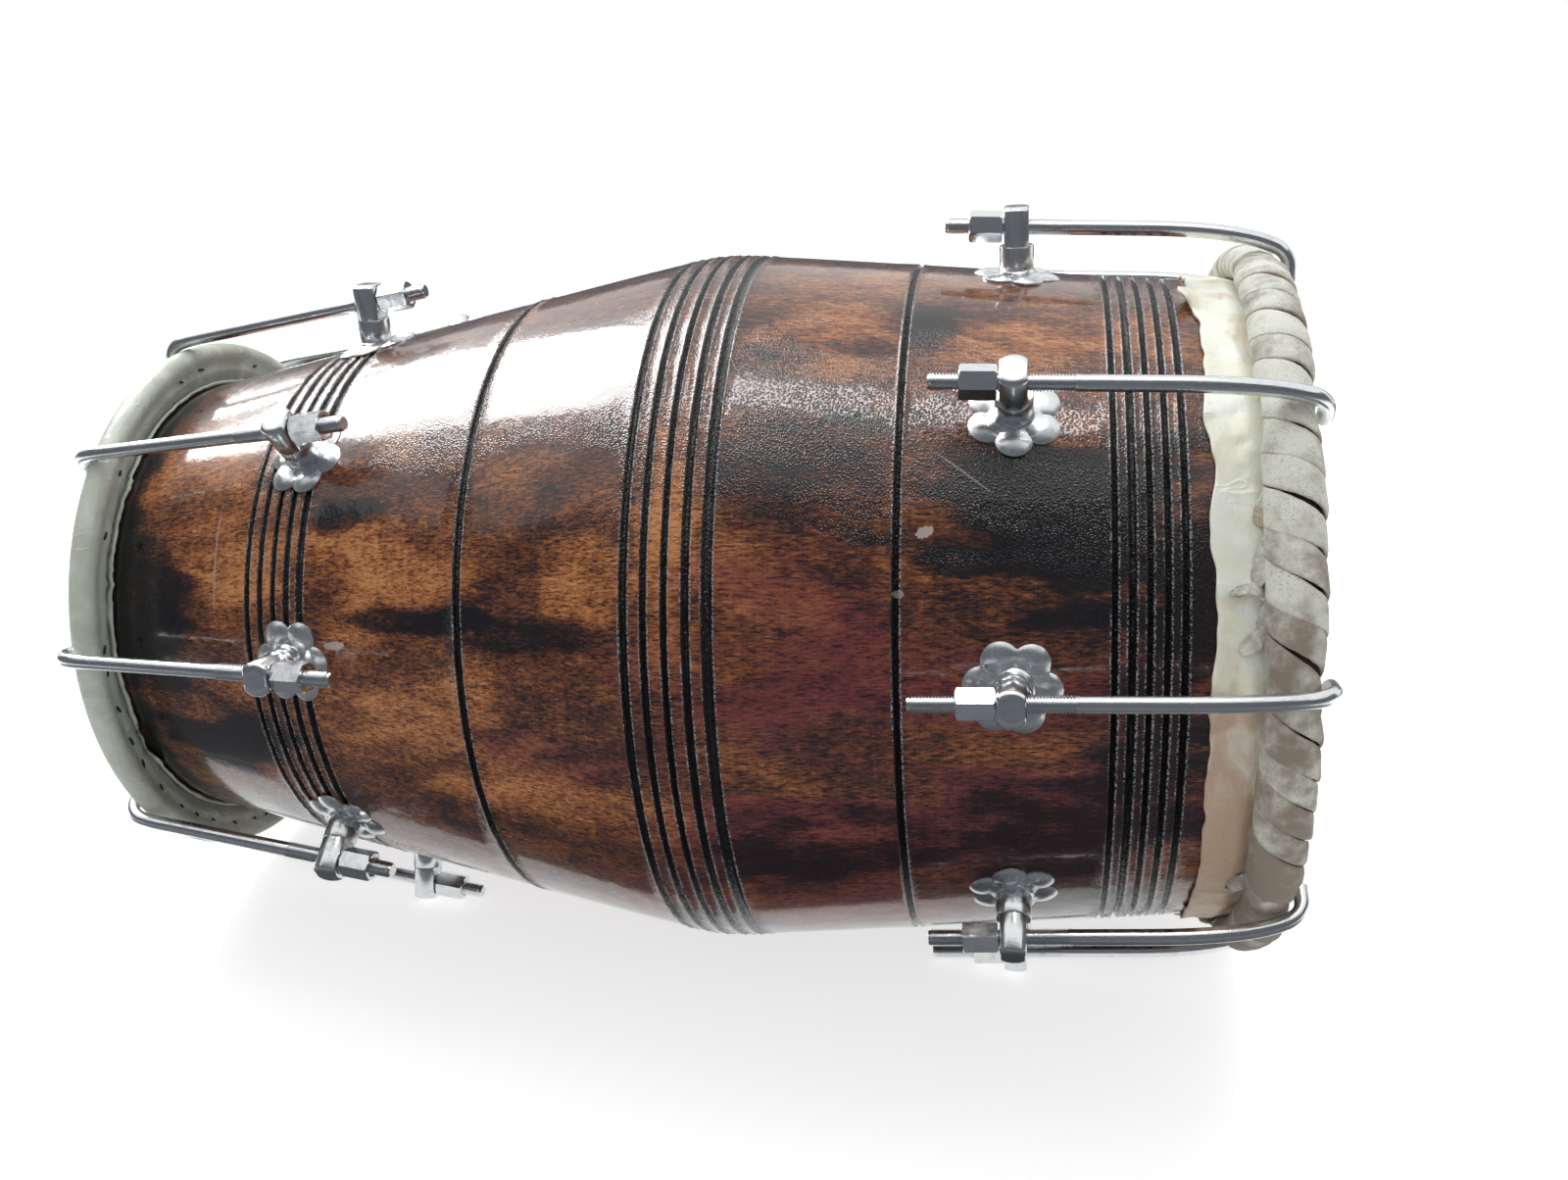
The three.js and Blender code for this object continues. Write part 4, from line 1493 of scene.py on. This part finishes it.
def threadRod(length):
    # The long thread cut to length, with a small chamfer at its free end
    plan = hookPlan
    root = plan["root"]
    bm = thread.copy()
    for height, normal in ((0, (0, 0, -1)), (length, (0, 0, 1))):
        geom = bm.verts[:] + bm.edges[:] + bm.faces[:]
        bmesh.ops.bisect_plane(bm, geom=geom, plane_co=(0, 0, height), plane_no=normal, clear_outer=True)
        bmesh.ops.holes_fill(bm, edges=[edge for edge in bm.edges if edge.is_boundary
                                        and all(abs(vert.co.z - height) < 1e-4 for vert in edge.verts)])
    for vert in bm.verts:
        taper = smooth(plan["threadChamfer"], 0, vert.co.z)
        radius = math.hypot(vert.co.x, vert.co.y)
        if radius > root and taper > 0:
            kept = min(radius, root + (plan["crest"] - root) * (1 - taper)) / radius
            vert.co.x *= kept
            vert.co.y *= kept
    mergeClose(bm)
    return bm


thread = longThread()


def makeHooks(head):
    rod, slope, _ = rodLine(head)
    line = hookLine(head)
    side = head["side"]
    aim = Matrix.Rotation(side * (math.pi / 2 + math.atan(slope)), 4, "Y")
    for i in range(drum["lugCount"]):
        start = head["lug"] - lugPlan["postFlat"] - drum["restGap"] - nutPlan["length"] - head["stubs"][i]
        rodEnd = threadRod((head["lug"] + hookPlan["threadPastPost"] - start) * math.hypot(1, slope))
        begin = Matrix.Translation((side * start, 0, rod - slope * (start - head["lug"])))
        bmesh.ops.transform(rodEnd, matrix=begin @ aim, verts=rodEnd.verts)
        finishHardware(head, "Hook", i, joined(rodEnd, sweepRod(line, side)), Matrix.Identity(4), 45)


def nutCorner():
    return nutPlan["flats"] / 2 / math.cos(math.pi / 6)


def makeNut():
    # A long hexagon nut along +Z from 0, chamfered at both ends and bored through
    plan = nutPlan
    corner = nutCorner()
    length, chamfer = plan["length"], plan["chamfer"]
    bore, mouth, deep = plan["boreRadius"], plan["mouthRadius"], plan["mouthDepth"]
    bm = newCylinder(6, corner, length)
    bmesh.ops.rotate(bm, cent=(0, 0, 0), matrix=Matrix.Rotation(math.pi / 6, 3, "Z"), verts=bm.verts)
    bmesh.ops.translate(bm, vec=(0, 0, length / 2), verts=bm.verts)
    shape = bmesh.new()
    turn(shape, [(0, mouth), (0, plan["faceRadius"]), (chamfer, corner + 0.05),
                 (length - chamfer, corner + 0.05), (length, plan["faceRadius"]), (length, mouth),
                 (length - deep, bore), (deep, bore), (0, mouth)], plan["steps"], "Z")
    return booleanOf(bm, shape, "INTERSECT")


def makeNuts(head):
    rod, slope, _ = rodLine(head)
    side = head["side"]
    pull = math.atan(slope)
    back = (lugPlan["postFlat"] + drum["restGap"]) / math.cos(pull) + nutCorner() * slope
    aim = Matrix.Rotation(side * (pull - math.pi / 2), 4, "Y")
    out = head["lug"] - back * math.cos(pull)
    place = Matrix.Translation((side * out, 0, rod + back * math.sin(pull)))
    master = makeNut()
    for i in range(drum["lugCount"]):
        turned = Matrix.Rotation(math.radians(head["nutTurns"][i]), 4, "Z")
        finishHardware(head, "Nut", i, master.copy(), place @ aim @ turned, 25)
    master.free()


for head in (bass, treble):
    makeLugs(head)
    makeHooks(head)
    makeNuts(head)
print("lugs, hooks and nuts made")


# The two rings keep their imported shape, inside the plait and the treble fold.
ringIron = makeDark("ringIron", (0.16, 0.13, 0.11), 0.6, 2)
for node in ("bass_ring", "treble_ring"):
    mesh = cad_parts[node].data
    mesh.materials.clear()
    mesh.materials.append(ringIron)


# Camera

view = {
    "place": (115.9, -513.1, 217.8),  # in the drum's millimetres
    "aim": (15.3, -5.3, 4.4),
    "lens": 30.95,
}


def makeCamera():
    data = bpy.data.cameras.new("camera")
    data.lens = view["lens"]
    data.sensor_width = 36
    data.clip_start = 0.01
    camera = bpy.data.objects.new("camera", data)
    bpy.context.scene.collection.objects.link(camera)
    place = drumFrame @ Vector(view["place"])
    aim = drumFrame @ Vector(view["aim"])
    camera.location = place
    camera.rotation_euler = (aim - place).to_track_quat("-Z", "Y").to_euler()
    bpy.context.scene.camera = camera


# Stage and light

lightPlan = {
    "world": 0.64,
    "floor": 0.55,
    "bounce": 0.85,
    "floorGlow": 0.7,
    "floorHalf": 6,
    "floorDrop": 0.0004,
    "boxes": [  # shine at x and angle, distance, width, height and power; only gloss sees them
        ("keyBox", -62, 30, 1.1, 0.66, 0.66, 18),
        ("coneBox", -178, 17, 1.2, 0.42, 0.16, 3.5),
        ("sheenBox", 68, 39, 1.3, 0.66, 0.24, 6),
    ],
    "topPlace": (-0.2, 0.5, 1.7),
    "topAim": (0, 0, 0.15),
    "topSize": (2.4, 1.2),
    "topPower": 27,
    "topShine": 14,
    "cards": [  # dark cards for the gloss: middle, half width, half height, turn about X and Z in degrees
        ("frontCard", (0, -1.6, 1.15), 2.3, 1.15, 90, 0),
        ("leftCard", (-2.1, -0.5, 0.75), 1.1, 0.75, 90, 90),
        ("rightCard", (2.1, -0.5, 0.75), 1.1, 0.75, 90, 90),
        ("lowCard", (0, -1.0, 0.002), 2.3, 0.6, 0, 0),
        ("underCard", (-0.02, -0.26, 0.003), 0.5, 0.16, 0, 0),
        ("backCard", (0, 2.2, 0.42), 2.3, 0.42, 90, 0),
        ("backFloorCard", (0, 0.95, 0.002), 2.3, 0.6, 0, 0),
    ],
    "card": (0.13, 0.14, 0.158),
}


def showsBackdrop(paint):
    path = paint.put("LightPath", {}).outputs
    shown = paint.add(path["Is Camera Ray"], path["Is Glossy Ray"])
    shown = paint.add(shown, path["Is Transmission Ray"])
    return paint.math(shown, 1.0, "MINIMUM")


def makeSheet(name, cuts, place, material):
    bm = bmesh.new()
    bmesh.ops.create_grid(bm, x_segments=cuts, y_segments=cuts, size=1)
    bmesh.ops.transform(bm, matrix=place, verts=bm.verts)
    sheet = newObject(name, bm)
    sheet.data.materials.append(material)
    return sheet


def makeFloor():
    plan = lightPlan
    material, paint = newMaterial("paleFloor")
    paint.set("Base Color", paint.step(showsBackdrop(paint), 0.0, 1.0, plan["bounce"], plan["floor"]))
    paint.set("Roughness", 0.9)
    paint.set("Specular IOR Level", 0.1)
    paint.set("Emission Color", (1, 1, 1, 1))
    paint.set("Emission Strength", paint.times(showsBackdrop(paint), plan["floorGlow"]))
    half = plan["floorHalf"]
    floor = makeSheet("floor", 8, Matrix.Diagonal((half, half, 1, 1)), material)
    floor.location.z = -plan["floorDrop"]


def makeWorld():
    world = bpy.data.worlds.new("world")
    bpy.context.scene.world = world
    world.use_nodes = True
    paint = Paint(world.node_tree)
    background = world.node_tree.nodes["Background"]
    paint.feed(background.inputs["Color"], (1, 1, 1, 1))
    lit = paint.step(showsBackdrop(paint), 0.0, 1.0, lightPlan["world"], 1.0)
    paint.feed(background.inputs["Strength"], lit)


def addLamp(name, place, ahead, width, height, power, diffuse=True, gloss=True):
    data = bpy.data.lights.new(name, "AREA")
    data.shape = "RECTANGLE"
    data.size = width
    data.size_y = height
    data.energy = power
    lamp = bpy.data.objects.new(name, data)
    lamp.location = place
    lamp.rotation_euler = Vector(ahead).to_track_quat("-Z", "Y").to_euler()
    lamp.visible_diffuse = diffuse
    lamp.visible_glossy = gloss
    bpy.context.scene.collection.objects.link(lamp)


def makeBox(name, x, angle, distance, width, height, power):
    # An area lamp whose mirror image lies at that place on the shell
    turnAbout = math.radians(angle)
    place = drumFrame @ onDrum(x, shellRadius(x), turnAbout)
    outward = onDrum(-shellSlope(x), 1, turnAbout)
    normal = (drumFrame.to_3x3() @ outward).normalized()
    toEye = (bpy.context.scene.camera.location - place).normalized()
    mirrored = (2 * normal.dot(toEye) * normal - toEye).normalized()
    addLamp(name, place + mirrored * distance, -mirrored, width, height, power, diffuse=False)


def makeLamps():
    plan = lightPlan
    for box in plan["boxes"]:
        makeBox(*box)
    top = Vector(plan["topPlace"])
    down = Vector(plan["topAim"]) - top
    addLamp("topLight", top, down, *plan["topSize"], plan["topPower"], gloss=False)
    addLamp("topShine", top, down, *plan["topSize"], plan["topShine"], diffuse=False)


def makeCards():
    # Cards on the near and far side, which only gloss sees
    material, paint = newMaterial("darkCard")
    paint.set("Base Color", (*lightPlan["card"], 1))
    paint.set("Roughness", 1)
    for name, middle, wide, high, tipped, turned in lightPlan["cards"]:
        about = Matrix.Rotation(math.radians(turned), 4, "Z")
        about = about @ Matrix.Rotation(math.radians(tipped), 4, "X")
        place = Matrix.Translation(middle) @ about @ Matrix.Diagonal((wide, high, 1, 1))
        card = makeSheet(name, 4, place, material)
        card.visible_camera = False
        card.visible_diffuse = False
        card.visible_transmission = False
        card.visible_shadow = False


makeCamera()
makeFloor()
makeWorld()
makeLamps()
makeCards()
bpy.context.scene.view_settings.view_transform = "Standard"
print("stage set")
